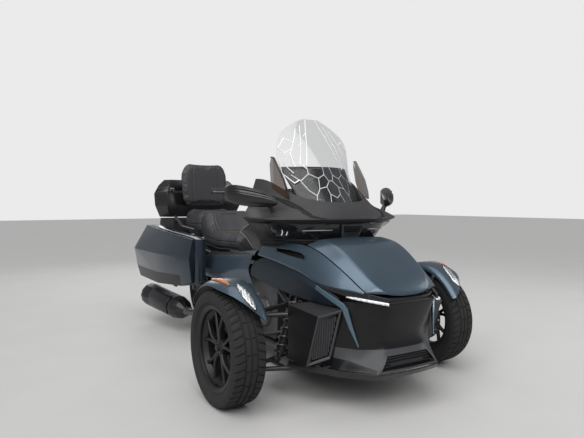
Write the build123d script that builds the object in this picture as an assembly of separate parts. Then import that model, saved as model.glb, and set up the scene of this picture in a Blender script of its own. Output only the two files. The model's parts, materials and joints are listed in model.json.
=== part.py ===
from build123d import *
import os
from math import cos, hypot, radians, sin

# Touring trike with two steered front wheels and one driven rear wheel, in millimetres.
# +X is forward, +Y is the vehicle's left, +Z is up, and the ground is Z = 0.
# Every piece is drawn with X = 0 at the front axle, and moved by ORIGIN_SHIFT when it is exported.

# Driving dimensions of the whole vehicle
WHEELBASE = 1714
FRONT_TRACK = 1384
NOSE_X = 580
TAIL_X = -2253
ORIGIN_SHIFT = -(NOSE_X + TAIL_X) / 2

# Wheels
FRONT_TYRE_R = 281
FRONT_TYRE_W = 165
REAR_TYRE_R = 303
REAR_TYRE_W = 225
BEAD_R = 190.5
FLANGE_R = 206
FRONT_RIM_HALF = 68
REAR_RIM_HALF = 96
TYRE_WALL = 11
SPINDLE_R = 17
BORE_GAP = 0.6
DISC_R = 135
DISC_T = 6
SPOKES = 5

# Steering
KINGPIN_Y = 606
STEER_ARM = 110
BALL_R = 11
BALL_GAP = 0.8
HUB_Y = FRONT_TRACK / 2
STEM_FOOT = (-620, 0, 900)
STEM_AXIS = (-0.42, 0, 0.91)
STEM_R = 18
ROD_EYE_Y = 582
ROD_Z = 281
DISC_OFFSET = 44

# Suspension stations
UPPER_ARM_Z = 412
LOWER_ARM_Z = 158
ARM_X = 140
ARM_PIVOT_Y = 264
SHOCK_FOOT_Y = 400
TOWER_Y = 236
TOWER_Z = 600
SHOCK_COILS = 7
RAIL_Y = 225
SWINGARM_PIVOT = (-1202, 330)
ARM_INNER_Y = 152
BELT_Y = (122, 146)
# each row: x, z and radius of a pulley
BELT_PULLEYS = [(-1000, 330, 50), (-WHEELBASE, REAR_TYRE_R, 118)]

# Mudguards, as |Y| of their edges and degrees up from the front
GUARD_INNER_Y = 597
GUARD_OUTER_Y = 777
GUARD_FRONT = 29
GUARD_REAR = 150
# each row: degrees up from the front and offset from the tyre's middle along the swept lower edge
GUARD_SWEEP = [(76, -104), (60, -60), (44, -4), (29, 78), (20, 120)]

# Panels
PANEL_T = 4
SEAM = 3
GLASS_T = 4
CASE_T = 4
CASE_INNER_Y = 335
PANNIER_SPLIT = 420

# Lid hinges: pin and knuckle radii, and the axes as (x, z) or (y, z)
PIN_R = 4
KNUCKLE_R = 8
HOOD_HINGE = (118, 770)
TOP_CASE_HINGE = (-1955, 1098)
PANNIER_HINGE = (-PANNIER_SPLIT - SEAM / 2, 364)


def prism_x(outline, x_low, x_high):
    """Extrude a closed outline of (y, z) points from x_low to x_high."""
    face = make_face(Polyline(*[(x_low, y, z) for y, z in outline], close=True))
    return extrude(face, amount=x_high - x_low, dir=(1, 0, 0))


def prism_y(outline, y_low, y_high):
    """Extrude a closed outline of (x, z) points from y_low to y_high."""
    face = make_face(Polyline(*[(x, y_low, z) for x, z in outline], close=True))
    return extrude(face, amount=y_high - y_low, dir=(0, 1, 0))


def prism_z(outline, z_low, z_high):
    """Extrude a closed outline of (x, y) points from z_low to z_high."""
    face = make_face(Polyline(*[(x, y, z_low) for x, y in outline], close=True))
    return extrude(face, amount=z_high - z_low, dir=(0, 0, 1))


def block(x_low, x_high, y_low, y_high, z_low, z_high):
    """A block between two corners."""
    size = (x_high - x_low, y_high - y_low, z_high - z_low)
    middle = ((x_low + x_high) / 2, (y_low + y_high) / 2, (z_low + z_high) / 2)
    return Pos(*middle) * Box(*size)


def bar(start, end, radius):
    """A round bar between two points."""
    axis = Vector(*end) - Vector(*start)
    plane = Plane(origin=start, z_dir=axis)
    return extrude(plane * Circle(radius), amount=axis.length)


def pipe(points, radius, bend):
    """A round tube along straight runs joined by arcs of the bend radius."""
    path = FilletPolyline(*points, radius=bend)
    return sweep(Plane(origin=path @ 0, z_dir=path % 0) * Circle(radius), path=path)


def disc_y(centre, radius, y_low, y_high):
    """A disc about a Y axis through centre (x, z)."""
    plane = Plane(origin=(centre[0], y_low, centre[1]), x_dir=(1, 0, 0), z_dir=(0, 1, 0))
    return extrude(plane * Circle(radius), amount=y_high - y_low)


def hinge_y(centre, y_low, y_high):
    """A lid hinge about Y: the fixed ears with their pin, the lid's knuckle, and both clearances."""
    third = (y_high - y_low) / 3
    spans = [(y_low, y_low + third), (y_high - third, y_high)]
    fixed = disc_y(centre, PIN_R, y_low, y_high)
    for low, high in spans:
        fixed += disc_y(centre, KNUCKLE_R, low, high)
    low, high = y_low + third + 1, y_high - third - 1
    knuckle = disc_y(centre, KNUCKLE_R, low, high) - disc_y(centre, PIN_R + 0.1, low, high)
    room_lid = [disc_y(centre, KNUCKLE_R + 2, a - 1, b + 1) for a, b in spans]
    room_fixed = disc_y(centre, KNUCKLE_R + 2, low - 1, high + 1)
    return fixed, knuckle, room_lid, room_fixed


def mirror_y(shape):
    """The same piece on the other side of the vehicle."""
    return mirror(shape, about=Plane.XZ)


def both(shape):
    """The right piece and its left twin, as two solids."""
    return shape + mirror_y(shape)


def joined(pieces):
    """The union of a list of pieces, added one by one."""
    whole = pieces[0]
    for piece in pieces[1:]:
        whole += piece
    return whole


def closed_loft(sections):
    """A solid through closed polygons with straight sides."""
    return loft([make_face(Polyline(*points, close=True)) for points in sections], ruled=True)


def strip(points, thickness):
    """A closed strip: an open outline in the plane and its twin, offset to the right of it."""
    inner = []
    for i, (u, v) in enumerate(points):
        before = points[max(i - 1, 0)]
        after = points[min(i + 1, len(points) - 1)]
        du, dv = after[0] - before[0], after[1] - before[1]
        length = hypot(du, dv)
        inner.append((u + thickness * dv / length, v - thickness * du / length))
    return list(points) + inner[::-1]


def shell_x(stations, thickness):
    """A bent sheet through open (y, z) outlines at stations (x, outline)."""
    return closed_loft([[(x, y, z) for y, z in strip(line, thickness)] for x, line in stations])


def shell_z(stations, thickness):
    """A bent sheet through open (x, y) outlines at stations (z, outline)."""
    return closed_loft([[(x, y, z) for x, y in strip(line, thickness)] for z, line in stations])


def across(half):
    """A half outline of (y, z) points from the centre out, made whole from right to left."""
    return [(-y, z) for y, z in half[::-1] if y > 0] + list(half)


def across_plan(half):
    """A half outline of (x, y) points from the centre out, made whole from right to left."""
    return [(x, -y) for x, y in half[::-1] if y > 0] + list(half)


def spun(profile, centre, middle_y, start=0, sweep_angle=360):
    """Revolve a closed (radius, offset) profile about the Y axis through centre (x, z)."""
    axis = Axis((centre[0], middle_y, centre[1]), (0, 1, 0))
    points = [(centre[0] + r, middle_y + a, centre[1]) for r, a in profile]
    face = make_face(Polyline(*points, close=True))
    turned = face.rotate(axis, -start)
    return revolve(turned, axis=axis, revolution_arc=-sweep_angle)


# Wheels

def tyre(centre, middle_y, radius, width, rim_half):
    """A hollow tyre with a flat crown, square shoulders and three grooves round it."""
    half = width / 2
    seat = rim_half - 8
    outside = [
        (BEAD_R + 2, -seat), (BEAD_R + 16, -seat - 8), (radius - 42, -half), (radius - 14, -half + 6),
        (radius - 4, -half + 16), (radius, -half * 0.42), (radius, half * 0.42), (radius - 4, half - 16),
        (radius - 14, half - 6), (radius - 42, half), (BEAD_R + 16, seat + 8), (BEAD_R + 2, seat),
    ]
    inside = [
        (BEAD_R + 6, seat - 12), (radius - 42, half - TYRE_WALL), (radius - TYRE_WALL - 4, half - 24),
        (radius - TYRE_WALL - 4, -half + 24), (radius - 42, -half + TYRE_WALL), (BEAD_R + 6, -seat + 12),
    ]
    carcass = spun(outside + inside, centre, middle_y)
    for place in (-0.36, 0, 0.36):
        low = place * half - 4
        ring = [(radius - 6, low), (radius + 2, low), (radius + 2, low + 8), (radius - 6, low + 8)]
        carcass -= spun(ring, centre, middle_y)
    return carcass


def spoke(dish):
    """One Y spoke in the wheel's plane, root at the hub, drawn along +X and as deep as dish."""
    root, fork, reach = 34, 74, BEAD_R - 7
    spread = radians(17)
    tip_out = (reach * cos(spread + 0.045), reach * sin(spread + 0.045))
    tip_in = (reach * cos(spread - 0.045), reach * sin(spread - 0.045))
    upper = [(root, 15), (fork, 13), tip_out, tip_in, (fork + 22, 0)]
    outline = upper + [(x, -y) for x, y in upper[-2::-1]]
    return extrude(make_face(Polyline(*[(x, y, 0) for x, y in outline], close=True)), amount=dish)


def rim(centre, middle_y, half, outward, disc_at):
    """A rim with a dropped centre, five forked spokes, a hub and its brake disc."""
    well = BEAD_R - 22
    barrel_half = [(FLANGE_R, half), (BEAD_R, half - 7), (BEAD_R, half - 22), (well, half - 36)]
    inner_half = [(well - 5, half - 40), (BEAD_R - 6, half - 18), (BEAD_R - 5, half)]
    outside = barrel_half + [(r, -a) for r, a in barrel_half[::-1]]
    inside = [(r, -a) for r, a in inner_half[::-1]] + inner_half
    wheel = spun(outside + inside, centre, middle_y)
    face_y = middle_y + outward * (half - 34)
    plane = Plane(origin=(centre[0], face_y, centre[1]), x_dir=(0, 0, 1), z_dir=(0, outward, 0))
    for i in range(SPOKES):
        wheel += plane * Rot(0, 0, i * 360 / SPOKES) * spoke(24)
    inner_end = middle_y + disc_at
    hub_low, hub_high = sorted((inner_end - outward * 8, face_y + outward * 20))
    wheel += disc_y(centre, 42, hub_low, hub_high)
    wheel += disc_y(centre, DISC_R, inner_end - DISC_T / 2, inner_end + DISC_T / 2)
    return wheel - disc_y(centre, SPINDLE_R + BORE_GAP, hub_low - 1, hub_high + 1)


def front_wheels():
    """Both front wheels: tyre and rim on the right and on the left."""
    nodes = {}
    for side, sign in (("right", -1), ("left", 1)):
        centre, middle = (0, FRONT_TYRE_R), sign * HUB_Y
        nodes["tyre_front_" + side] = tyre(centre, middle, FRONT_TYRE_R, FRONT_TYRE_W, FRONT_RIM_HALF)
        nodes["wheel_front_" + side] = rim(centre, middle, FRONT_RIM_HALF, sign, -sign * DISC_OFFSET)
    return nodes


def rear_wheel():
    """The rear tyre and the rear rim with its disc on the right and its sprocket on the left."""
    centre = (-WHEELBASE, REAR_TYRE_R)
    wheel = rim(centre, 0, REAR_RIM_HALF, -1, 66)
    wheel += disc_y(centre, 118, 122, 146) + disc_y(centre, 60, 60, 124)
    wheel -= disc_y(centre, SPINDLE_R + BORE_GAP, -120, 150)
    return {
        "tyre_rear": tyre(centre, 0, REAR_TYRE_R, REAR_TYRE_W, REAR_RIM_HALF),
        "wheel_rear": wheel,
    }


# Steering and front suspension

def knuckle_right():
    """The right upright: spindle, ball sockets, steering arm, caliper and mudguard stays."""
    y_out, y_in = -KINGPIN_Y - 14, -KINGPIN_Y + 14
    low, high = LOWER_ARM_Z + 14, UPPER_ARM_Z - 14
    piece = prism_y([(-32, low), (32, low), (28, high), (-28, high)], y_out, y_in)
    piece += disc_y((0, FRONT_TYRE_R), 48, y_out, y_in)
    piece += disc_y((0, FRONT_TYRE_R), SPINDLE_R, -HUB_Y - 48, y_out)
    piece += disc_y((0, FRONT_TYRE_R), 26, y_out - 14, y_out)
    piece += block(-STEER_ARM - 14, -20, y_in - 8, -ROD_EYE_Y + 12, ROD_Z + 14, ROD_Z + 30)
    piece += block(-118, -24, y_out - 4, y_in - 4, 318, 352)
    caliper = spun([(84, 0), (155, 0), (155, 50), (84, 50)], (0, FRONT_TYRE_R), -672, 138, 40)
    slot_low = -HUB_Y + DISC_OFFSET - DISC_T / 2 - 5
    caliper -= disc_y((0, FRONT_TYRE_R), DISC_R + 5, slot_low, slot_low + DISC_T + 10)
    piece += caliper
    for x_top in (-135, 135):
        piece += bar((0.15 * x_top, y_in - 6, high - 40), (x_top, y_in + 4, 548), 8)
    for z_low, z_high in ((low - 1, low + 26), (high - 26, high + 1)):
        piece -= Pos(0, -KINGPIN_Y, (z_low + z_high) / 2) * Cylinder(BALL_R + BALL_GAP, z_high - z_low)
    return piece


def wishbones():
    """Upper and lower arms on both sides, each ending in a pin on the kingpin line."""
    pieces = None
    for arm_z, pin_low, pin_high in (
        (UPPER_ARM_Z + 8, UPPER_ARM_Z - 36, UPPER_ARM_Z + 8),
        (LOWER_ARM_Z - 8, LOWER_ARM_Z - 8, LOWER_ARM_Z + 36),
    ):
        eye = Pos(0, -KINGPIN_Y, arm_z) * Cylinder(19, 24)
        arm = eye + Pos(0, -KINGPIN_Y, (pin_low + pin_high) / 2) * Cylinder(BALL_R, pin_high - pin_low)
        for x in (-ARM_X, ARM_X):
            arm += bar((x, -ARM_PIVOT_Y, arm_z), (0, -KINGPIN_Y + 6, arm_z), 12)
            arm += bar((x - 15, -ARM_PIVOT_Y, arm_z), (x + 15, -ARM_PIVOT_Y, arm_z), 14)
        if arm_z < FRONT_TYRE_R:
            arm += bar((-84, -SHOCK_FOOT_Y, arm_z), (84, -SHOCK_FOOT_Y, arm_z), 10)
        pieces = arm if pieces is None else pieces + arm
    return both(pieces)


def front_shocks():
    """A coil shock on each side, from the lower arm to the tower bar."""
    foot = Vector(0, -SHOCK_FOOT_Y, LOWER_ARM_Z + 16)
    head = Vector(0, -TOWER_Y - 8, TOWER_Z - 22)
    axis = (head - foot).normalized()
    plane = Plane(origin=foot, z_dir=axis, x_dir=(1, 0, 0))
    length = (head - foot).length
    profile = [(0, 0), (18, 0), (18, 30), (38, 34), (38, 40), (24, 46)]
    pitch = (length - 126) / SHOCK_COILS
    for i in range(SHOCK_COILS):
        z = 50 + i * pitch
        profile += [(24, z), (35, z + pitch * 0.3), (35, z + pitch * 0.6), (24, z + pitch * 0.9)]
    profile += [(38, length - 66), (38, length - 58), (12, length - 50), (12, length), (0, length)]
    turned = revolve(make_face(Polyline(*[(r, 0, z) for r, z in profile], close=True)), axis=Axis.Z)
    return both(plane.location * turned)


def tie_rods():
    """One rack bar and its two rods, with an eye under each steering arm."""
    rod = bar((-STEER_ARM, -ROD_EYE_Y, ROD_Z), (-STEER_ARM, ROD_EYE_Y, ROD_Z), 9)
    rod += bar((-STEER_ARM, -170, ROD_Z), (-STEER_ARM, 170, ROD_Z), 20)
    for y in (-ROD_EYE_Y, ROD_EYE_Y):
        rod += Pos(-STEER_ARM, y, ROD_Z) * Cylinder(14, 17)
    return rod


def handlebar():
    """The steering stem, its clamp, the bent bar and the two switch pods."""
    axis = Vector(*STEM_AXIS).normalized()
    foot = Vector(*STEM_FOOT)
    stem = bar(foot - axis * 70, foot + axis * 92, STEM_R)
    half = [(-742, 322, 1056), (-690, 200, 1024), (-668, 96, 978), (-660, 40, 968)]
    path = [(x, -y, z) for x, y, z in half] + half[::-1]
    stem += pipe(path, 12, 22)
    stem += block(-692, -632, -56, 56, 950, 988)
    for sign in (-1, 1):
        pod = Plane(origin=(-742, sign * 322, 1056), x_dir=(0, 0, 1), z_dir=(-0.5, sign * 0.86, 0.03))
        stem += pod * Pos(0, 0, -34) * Box(52, 46, 62)
    return stem


def grips():
    """A grip on each end of the bar."""
    grip = bar((-746, -329, 1056), (-797, -418, 1059), 18)
    grip += bar((-795, -415, 1059), (-800, -424, 1059.3), 20)
    return both(grip)


# Front mudguards

def guard_corner(margin):
    """What the swept lower edge cuts from the front outer corner, raised by a margin."""
    middle, radius = radians(45), 320
    edge = [(offset, radius * sin(radians(turn) - middle) + margin) for turn, offset in GUARD_SWEEP]
    outline = edge + [(edge[-1][0], -400), (edge[0][0], -400)]
    outward = (cos(middle), 0, sin(middle))
    foot = (200 * outward[0], -HUB_Y, FRONT_TYRE_R + 200 * outward[2])
    plane = Plane(origin=foot, x_dir=(0, 1, 0), z_dir=outward)
    return extrude(plane * make_face(Polyline(*[(a, u, 0) for a, u in outline], close=True)), amount=240)


def mudguard_right():
    """The right mudguard: a crowned strip round the tyre, swept away at its front outer corner."""
    centre = (0, FRONT_TYRE_R)
    inner_y, outer_y = GUARD_INNER_Y - HUB_Y, GUARD_OUTER_Y - HUB_Y
    crown = [
        (291, -outer_y), (304, -outer_y), (326, -outer_y + 30), (338, -24), (338, 24),
        (330, -inner_y - 24), (312, -inner_y), (299, -inner_y),
    ]
    lining = [(r - PANEL_T, a * 0.94) for r, a in crown[2:6][::-1]]
    profile = crown + [(296, -inner_y - 5), *lining, (299, -outer_y + 5)]
    return spun(profile, centre, -HUB_Y, GUARD_FRONT, GUARD_REAR - GUARD_FRONT) - guard_corner(0)


def mudguard_lamp_right():
    """The lamp lens and the amber marker that lie on the crown of the right mudguard."""
    centre = (0, FRONT_TYRE_R)
    lamp = spun([(339, -8), (346, 4), (346, 30), (339, 40)], centre, -HUB_Y, 40, 26) - guard_corner(18)
    marker = spun([(333, -62), (336, -66), (345, -42), (345, -14), (339, -10)], centre, -HUB_Y, 72, 26)
    return lamp + marker


# Chassis

FRAME_FRONT, FRAME_BACK = 170, -170
FRAME_LOW, FRAME_HIGH = LOWER_ARM_Z - 8, UPPER_ARM_Z + 8


def side_frame_tubes():
    """The right side frame's pieces: rails, posts, wishbone lugs, shock tower, subframe and stays."""
    front, back, low, high = FRAME_FRONT, FRAME_BACK, FRAME_LOW, FRAME_HIGH
    # each row: start, end, tube radius
    runs = [
        ((front, -RAIL_Y, low), (front, -RAIL_Y, high), 16),
        ((back, -RAIL_Y, low), (back, -RAIL_Y, high), 16),
        ((front, -RAIL_Y, low), (-1150, -RAIL_Y, low), 20),
        ((front, -RAIL_Y, high), (back, -RAIL_Y, high), 20),
        ((back, -RAIL_Y, high), (-420, -RAIL_Y, 575), 20),
        ((-420, -RAIL_Y, 575), (-1150, -RAIL_Y, 575), 20),
        ((-1150, -RAIL_Y, low), (-1150, -RAIL_Y, 575), 20),
        ((-1150, -RAIL_Y, 575), (-1460, -190, 650), 16),
        ((-1460, -190, 650), (-2130, -190, 690), 16),
        ((front, -RAIL_Y, high), (44, -TOWER_Y, TOWER_Z), 13),
        ((back, -RAIL_Y, high), (-44, -TOWER_Y, TOWER_Z), 13),
        ((44, -TOWER_Y, TOWER_Z), (-44, -TOWER_Y, TOWER_Z), 13),
        ((0, -TOWER_Y, TOWER_Z), (0, -TOWER_Y - 34, TOWER_Z), 13),
        ((-300, -RAIL_Y, 504), (-300, -252, 775), 10),
        ((-1300, -205, 616), (-1300, -CASE_INNER_Y + 4, 660), 12),
        ((-1950, -190, 679), (-1950, -CASE_INNER_Y + 1, 679), 12),
        ((front, -RAIL_Y, high), (front + 180, -170, 400), 12),
        ((front, -RAIL_Y, low), (front + 180, -170, 230), 12),
        ((front + 180, -170, 400), (front + 180, -170, 230), 12),
        ((front + 180, -170, 230), (516, -104, 232), 12),
    ]
    tubes = [bar(start, end, radius) for start, end, radius in runs]
    # each row: x, y and z of a joint that a ball closes
    balls = [
        (front, RAIL_Y, low), (front, RAIL_Y, high), (back, RAIL_Y, low), (back, RAIL_Y, high),
        (-420, RAIL_Y, 575), (-1150, RAIL_Y, 575), (-1150, RAIL_Y, low),
    ]
    tubes += [Pos(x, -y, z) * Sphere(20) for x, y, z in balls]
    for z in (low, high):
        for x in (-ARM_X, ARM_X):
            for end in (x - 24, x + 18):
                tubes.append(block(end, end + 6, -ARM_PIVOT_Y - 12, -RAIL_Y, z - 15, z + 15))
    tubes.append(block(-1225, -1140, -212, -190, 295, 365))
    return tubes


def cross_bars(side_frames):
    """The tubes between the side frames, each cut to the rails that it meets."""
    # each row: x, half length, z, tube radius
    crossing = [
        (FRAME_FRONT, RAIL_Y, FRAME_LOW, 16), (FRAME_FRONT, RAIL_Y, FRAME_HIGH, 16),
        (FRAME_BACK, RAIL_Y, FRAME_LOW, 16), (FRAME_BACK, RAIL_Y, FRAME_HIGH, 16),
        (0, TOWER_Y - 8, TOWER_Z, 12), (-1150, RAIL_Y, FRAME_LOW, 20), (-1150, RAIL_Y, 575, 16),
        (-1460, 190, 650, 14), (-2106, 190, 688, 14), (FRAME_FRONT + 180, 170, 400, 12),
        (FRAME_FRONT + 180, 170, 230, 12), (516, 104, 232, 12),
    ]
    bars = [bar((x, -half, z), (x, half, z), radius) - side_frames for x, half, z, radius in crossing]
    return joined(bars)


def engine():
    """The engine as one plain block with its sump."""
    side = [(-930, 200), (-860, 150), (-420, 150), (-400, 200), (-400, 470), (-470, 540), (-900, 540),
            (-930, 480)]
    gearbox = block(-1040, -925, -118, 118, 250, 420)
    return prism_y(side, -168, 168) + gearbox


def swingarm():
    """Cross tube, two box arms, the rear axle and the shock mount."""
    pivot_x, pivot_z = SWINGARM_PIVOT
    arm_side = [
        (pivot_x + 24, pivot_z + 30), (pivot_x + 24, pivot_z - 30), (-WHEELBASE, REAR_TYRE_R - 26),
        (-WHEELBASE - 42, REAR_TYRE_R - 26), (-WHEELBASE - 42, REAR_TYRE_R + 26),
        (-WHEELBASE, REAR_TYRE_R + 26),
    ]
    arms = prism_y(arm_side, -180, -ARM_INNER_Y) + prism_y(arm_side, ARM_INNER_Y, 180)
    arms += disc_y(SWINGARM_PIVOT, 24, -188, 188)
    arms += disc_y((-WHEELBASE, REAR_TYRE_R), SPINDLE_R, -186, 186)
    arms += block(pivot_x - 110, pivot_x - 20, -30, 30, pivot_z - 18, pivot_z + 20)
    return arms


def rear_shock():
    """The rear coil shock, from the swingarm's bridge to the upper cross bar."""
    foot = Vector(SWINGARM_PIVOT[0] - 82, 0, SWINGARM_PIVOT[1] + 30)
    head = Vector(-1166, 0, 556)
    axis = (head - foot).normalized()
    plane = Plane(origin=foot, z_dir=axis, x_dir=(0, 1, 0))
    profile = [(0, 0), (16, 0), (16, 18), (40, 22), (40, 28), (30, 32), (30, 150), (40, 154), (40, 160),
               (18, 164), (18, 196), (0, 196)]
    turned = revolve(make_face(Polyline(*[(r, 0, z) for r, z in profile], close=True)), axis=Axis.Z)
    return plane.location * turned


def belt_loop(grow):
    """The face inside the belt's run round both pulleys, grown by a distance."""
    plane = Plane(origin=(0, BELT_Y[0], 0), x_dir=(1, 0, 0), z_dir=(0, 1, 0))
    rounds = [Pos(x, -z) * Circle(radius + grow) for x, z, radius in BELT_PULLEYS]
    return plane * make_hull([edge for ring in rounds for edge in ring.edges()])


def drive_belt():
    """The drive belt and its front pulley."""
    wide = BELT_Y[1] - BELT_Y[0]
    belt = extrude(belt_loop(7), amount=wide) - extrude(belt_loop(1.5), amount=wide)
    x, z, radius = BELT_PULLEYS[0]
    pulley = disc_y((x, z), radius, BELT_Y[0], BELT_Y[1]) + disc_y((x, z), 20, 118, BELT_Y[1])
    return belt + pulley


def exhaust():
    """The pipe along the right side and the long silencer under the pannier."""
    front, rear = Vector(-1430, -352, 176), Vector(-2085, -418, 214)
    axis = (rear - front).normalized()
    plane = Plane(origin=front, z_dir=axis)
    length = (rear - front).length
    profile = [(0, 0), (34, 0), (76, 60), (86, 110), (90, length - 70), (92, length - 60), (92, length),
               (78, length + 4), (60, length + 4), (60, length - 40), (0, length - 40)]
    turned = revolve(make_face(Polyline(*[(r, 0, z) for r, z in profile], close=True)), axis=Axis.Z)
    can = plane.location * turned
    route = [(-760, -169, 320), (-760, -290, 320), (-1180, -330, 190), tuple(front - axis * 0.5)]
    return can + pipe(route, 24, 45)


def belly_pan():
    """The tray under the engine and nose."""
    side = [(330, 150), (230, 118), (-900, 118), (-930, 140), (-900, 124), (230, 124), (328, 156)]
    return prism_y(side, -205, 205)


# Nose

def top_skin():
    """The bent sheet that lid and quarter panels are cut from."""
    # each row: x, centre z, crease y and z, seam y and z, outer edge y and z
    stations = [
        (-330, 800, 190, 795, 285, 750, 338, 690),
        (110, 797, 205, 793, 290, 768, 330, 640),
        (200, 786, 208, 782, 280, 736, 327, 606),
        (270, 764, 208, 759, 268, 704, 322, 586),
        (345, 716, 203, 712, 256, 662, 311, 566),
        (412, 672, 196, 668, 243, 620, 292, 546),
        (488, 622, 176, 617, 228, 572, 258, 522),
        (530, 588, 158, 583, 208, 535, 232, 488),
        (545, 550, 150, 546, 200, 510, 225, 470),
    ]
    rows = []
    for x, z0, y1, z1, y2, z2, y3, z3 in stations:
        rows.append((x, across([(0, z0), (y1, z1), (y2, z2), (y3, z3)])))
    return shell_x(rows, PANEL_T)


HOOD_HINGE_SPAN = (130, 172)
LID_PLAN = [(112, -288), (270, -264), (400, -241), (488, -223), (522, -186), (543, -148), (546, -100),
            (546, 0)]
PANEL_PLAN = [(-330, -285), (112, -291), (270, -267), (400, -244), (488, -226),
              (492, -232), (400, -292), (270, -330), (112, -345), (-330, -345)]


def trunk_lid():
    """The lid of the front luggage bin, with its two hinge knuckles."""
    outline = LID_PLAN + [(x, -y) for x, y in LID_PLAN[-2::-1]]
    lid = top_skin() & prism_z(outline, 300, 900)
    x, z = HOOD_HINGE
    knuckle = hinge_y(HOOD_HINGE, *HOOD_HINGE_SPAN)[1]
    low, high = HOOD_HINGE_SPAN
    third = (high - low) / 3
    web = block(x - 2, x + 6, low + third + 1, high - third - 1, z + 6, z + 24)
    return lid + both(knuckle + web)


def quarter_panel_right():
    """The right quarter panel with its duct recess."""
    panel = top_skin() & prism_z(PANEL_PLAN, 300, 900)
    duct = prism_z([(-215, -326), (-70, -326), (-10, -306), (-90, -297), (-180, -300)], 600, 900)
    return panel - duct


def flank_right():
    """The dark flank under the right quarter panel."""
    side = [(-330, 682), (110, 606), (226, 568), (368, 500), (350, 492), (-100, 505), (-449, 550)]
    return prism_y(side, -322, -317)


def nose_mask():
    """The waisted front mask with its lip under the hood, its cheeks and the chin opening."""
    # each row: z, centre x, crease x and y, blade edge x and y, cheek x and y
    levels = [
        (520, 573, 562, 150, 410, 246, 394, 294),
        (430, 541, 524, 136, 430, 258, 376, 294),
        (350, 510, 492, 122, 442, 236, 355, 295),
        (300, 520, 506, 126, 446, 228, 343, 295),
        (255, 546, 530, 150, 420, 262, 334, 295),
        (204, 554, 540, 192, 392, 300, 330, 304),
    ]
    rows = []
    for z, x0, x1, y1, x2, y2, x3, y3 in levels:
        half = [(x0, 0), (x1, y1), (x2, y2), (x3, y3)]
        rows.append((z, across_plan(half)[::-1]))
    mask = shell_z(rows, PANEL_T)
    lip = [(564, 514), (577, 521), (576, 526), (536, 531), (533, 548), (528, 548), (530, 526), (562, 520)]
    mask += prism_y(lip, -138, 138)
    opening = [(-192, 214), (-127, 274), (127, 274), (192, 214)]
    return mask - prism_x(opening, 300, 700)


def chin_lip():
    """The lower lip that runs from the nose back along both sides."""
    # each row: z, centre x, corner x and y, side x and y, rear x and y
    levels = [
        (202, 555, 541, 194, 400, 300, 125, 410),
        (168, 530, 515, 190, 385, 297, 125, 396),
    ]
    rows = []
    for z, x0, x1, y1, x2, y2, x3, y3 in levels:
        rows.append((z, across_plan([(x0, 0), (x1, y1), (x2, y2), (x3, y3)])[::-1]))
    return shell_z(rows, PANEL_T)


def ribbon(points, width, thickness, side):
    """A flat ribbon along straight runs, its broad face turned to side."""
    runs = [Vector(*b) - Vector(*a) for a, b in zip(points, points[1:])]
    runs = [run.normalized() for run in runs]
    faces = []
    for i, point in enumerate(points):
        along = runs[max(i - 1, 0)] + runs[min(i, len(runs) - 1)]
        across_dir = along.cross(Vector(*side))
        faces.append(Plane(origin=point, x_dir=across_dir, z_dir=along) * Rectangle(width[i], thickness))
    return loft(faces, ruled=True)


def trim_blades():
    """The bent blade on each side of the mask."""
    points = [(262, -332, 572), (418, -285, 500), (466, -240, 318)]
    return both(ribbon(points, (26, 30, 10), 8, (0.5, -0.85, 0.1)))


def headlamps():
    """The lamp strip under each front edge of the hood."""
    points = [(338, -294, 555), (420, -252, 530), (582, -152, 520)]
    ahead = block(NOSE_X, NOSE_X + 100, -400, 400, 400, 700)
    return both(ribbon(points, (10, 30, 18), 18, (0.55, -0.8, 0)) - ahead)


def air_scoop_right():
    """The right side duct with its slatted mouth, leaning forward at the top."""
    # each row: y, then the side outline in x and z: rear foot, front foot, front head, rear head
    stations = [
        (-403, [(108, 205), (274, 206), (372, 460), (108, 476)]),
        (-296, [(182, 205), (322, 238), (412, 486), (182, 492)]),
    ]
    walls = ((6, 6), (30, 6), (30, -6), (6, -6))
    duct = closed_loft([[(x, y, z) for x, z in outline] for y, outline in stations])
    hollow = closed_loft([
        [(x + dx, y + inward, z + dz) for (x, z), (dx, dz) in zip(outline, walls)]
        for (y, outline), inward in zip(stations, (5, -5))
    ])
    slats = block(196, 204, -398, -301, 150, 520)
    for i in range(7):
        y = -388 + 12 * i
        slats += block(204, 236 + 6 * i, y, y + 3, 150, 520)
    return (duct - hollow) + (slats & duct)


def front_bin():
    """The open tub of the front luggage space."""
    top_line = [(86, 0), (86, 762), (126, 758), (240, 716), (400, 620), (430, 596), (430, 0)]
    outside = prism_y(top_line, -185, 185) - block(0, 600, -300, 300, 0, 440)
    inner_line = [(91, 0), (91, 900), (425, 900), (425, 0)]
    inside = prism_y(inner_line, -180, 180) - block(0, 600, -300, 300, 0, 445)
    x, z = HOOD_HINGE
    ears, _, _, _ = hinge_y(HOOD_HINGE, *HOOD_HINGE_SPAN)
    low, high = HOOD_HINGE_SPAN
    third = (high - low) / 3
    for start in (low, high - third):
        ears += block(90, x, start, start + third, z - 22, z - 4)
    return outside - inside + ears + mirror_y(ears)


# Fairing and screen

FAIRING_LEVELS = [
    # each row: z, then half the plan outline from the front centre to the rear outer corner
    (776, [(66, 0), (60, 145), (14, 240), (-130, 318), (-330, 326)]),
    (786, [(78, 0), (72, 150), (22, 252), (-120, 338), (-330, 338)]),
    (872, [(112, 0), (104, 158), (44, 285), (-62, 424), (-330, 404)]),
    (905, [(140, 0), (133, 180), (64, 330), (-46, 494), (-330, 432)]),
    (932, [(124, 0), (114, 172), (30, 318), (-84, 470), (-330, 424)]),
    (962, [(82, 0), (72, 150), (-30, 262), (-130, 356), (-345, 392)]),
    (1126, [(-215, 0), (-222, 120), (-240, 226), (-278, 302), (-385, 322)]),
]


def fairing_body():
    """The solid that the fairing and its lens are cut from."""
    sections = []
    for z, half in FAIRING_LEVELS:
        plan = across_plan(half)
        sections.append([(x, y, z) for x, y in plan])
    return closed_loft(sections)


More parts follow.
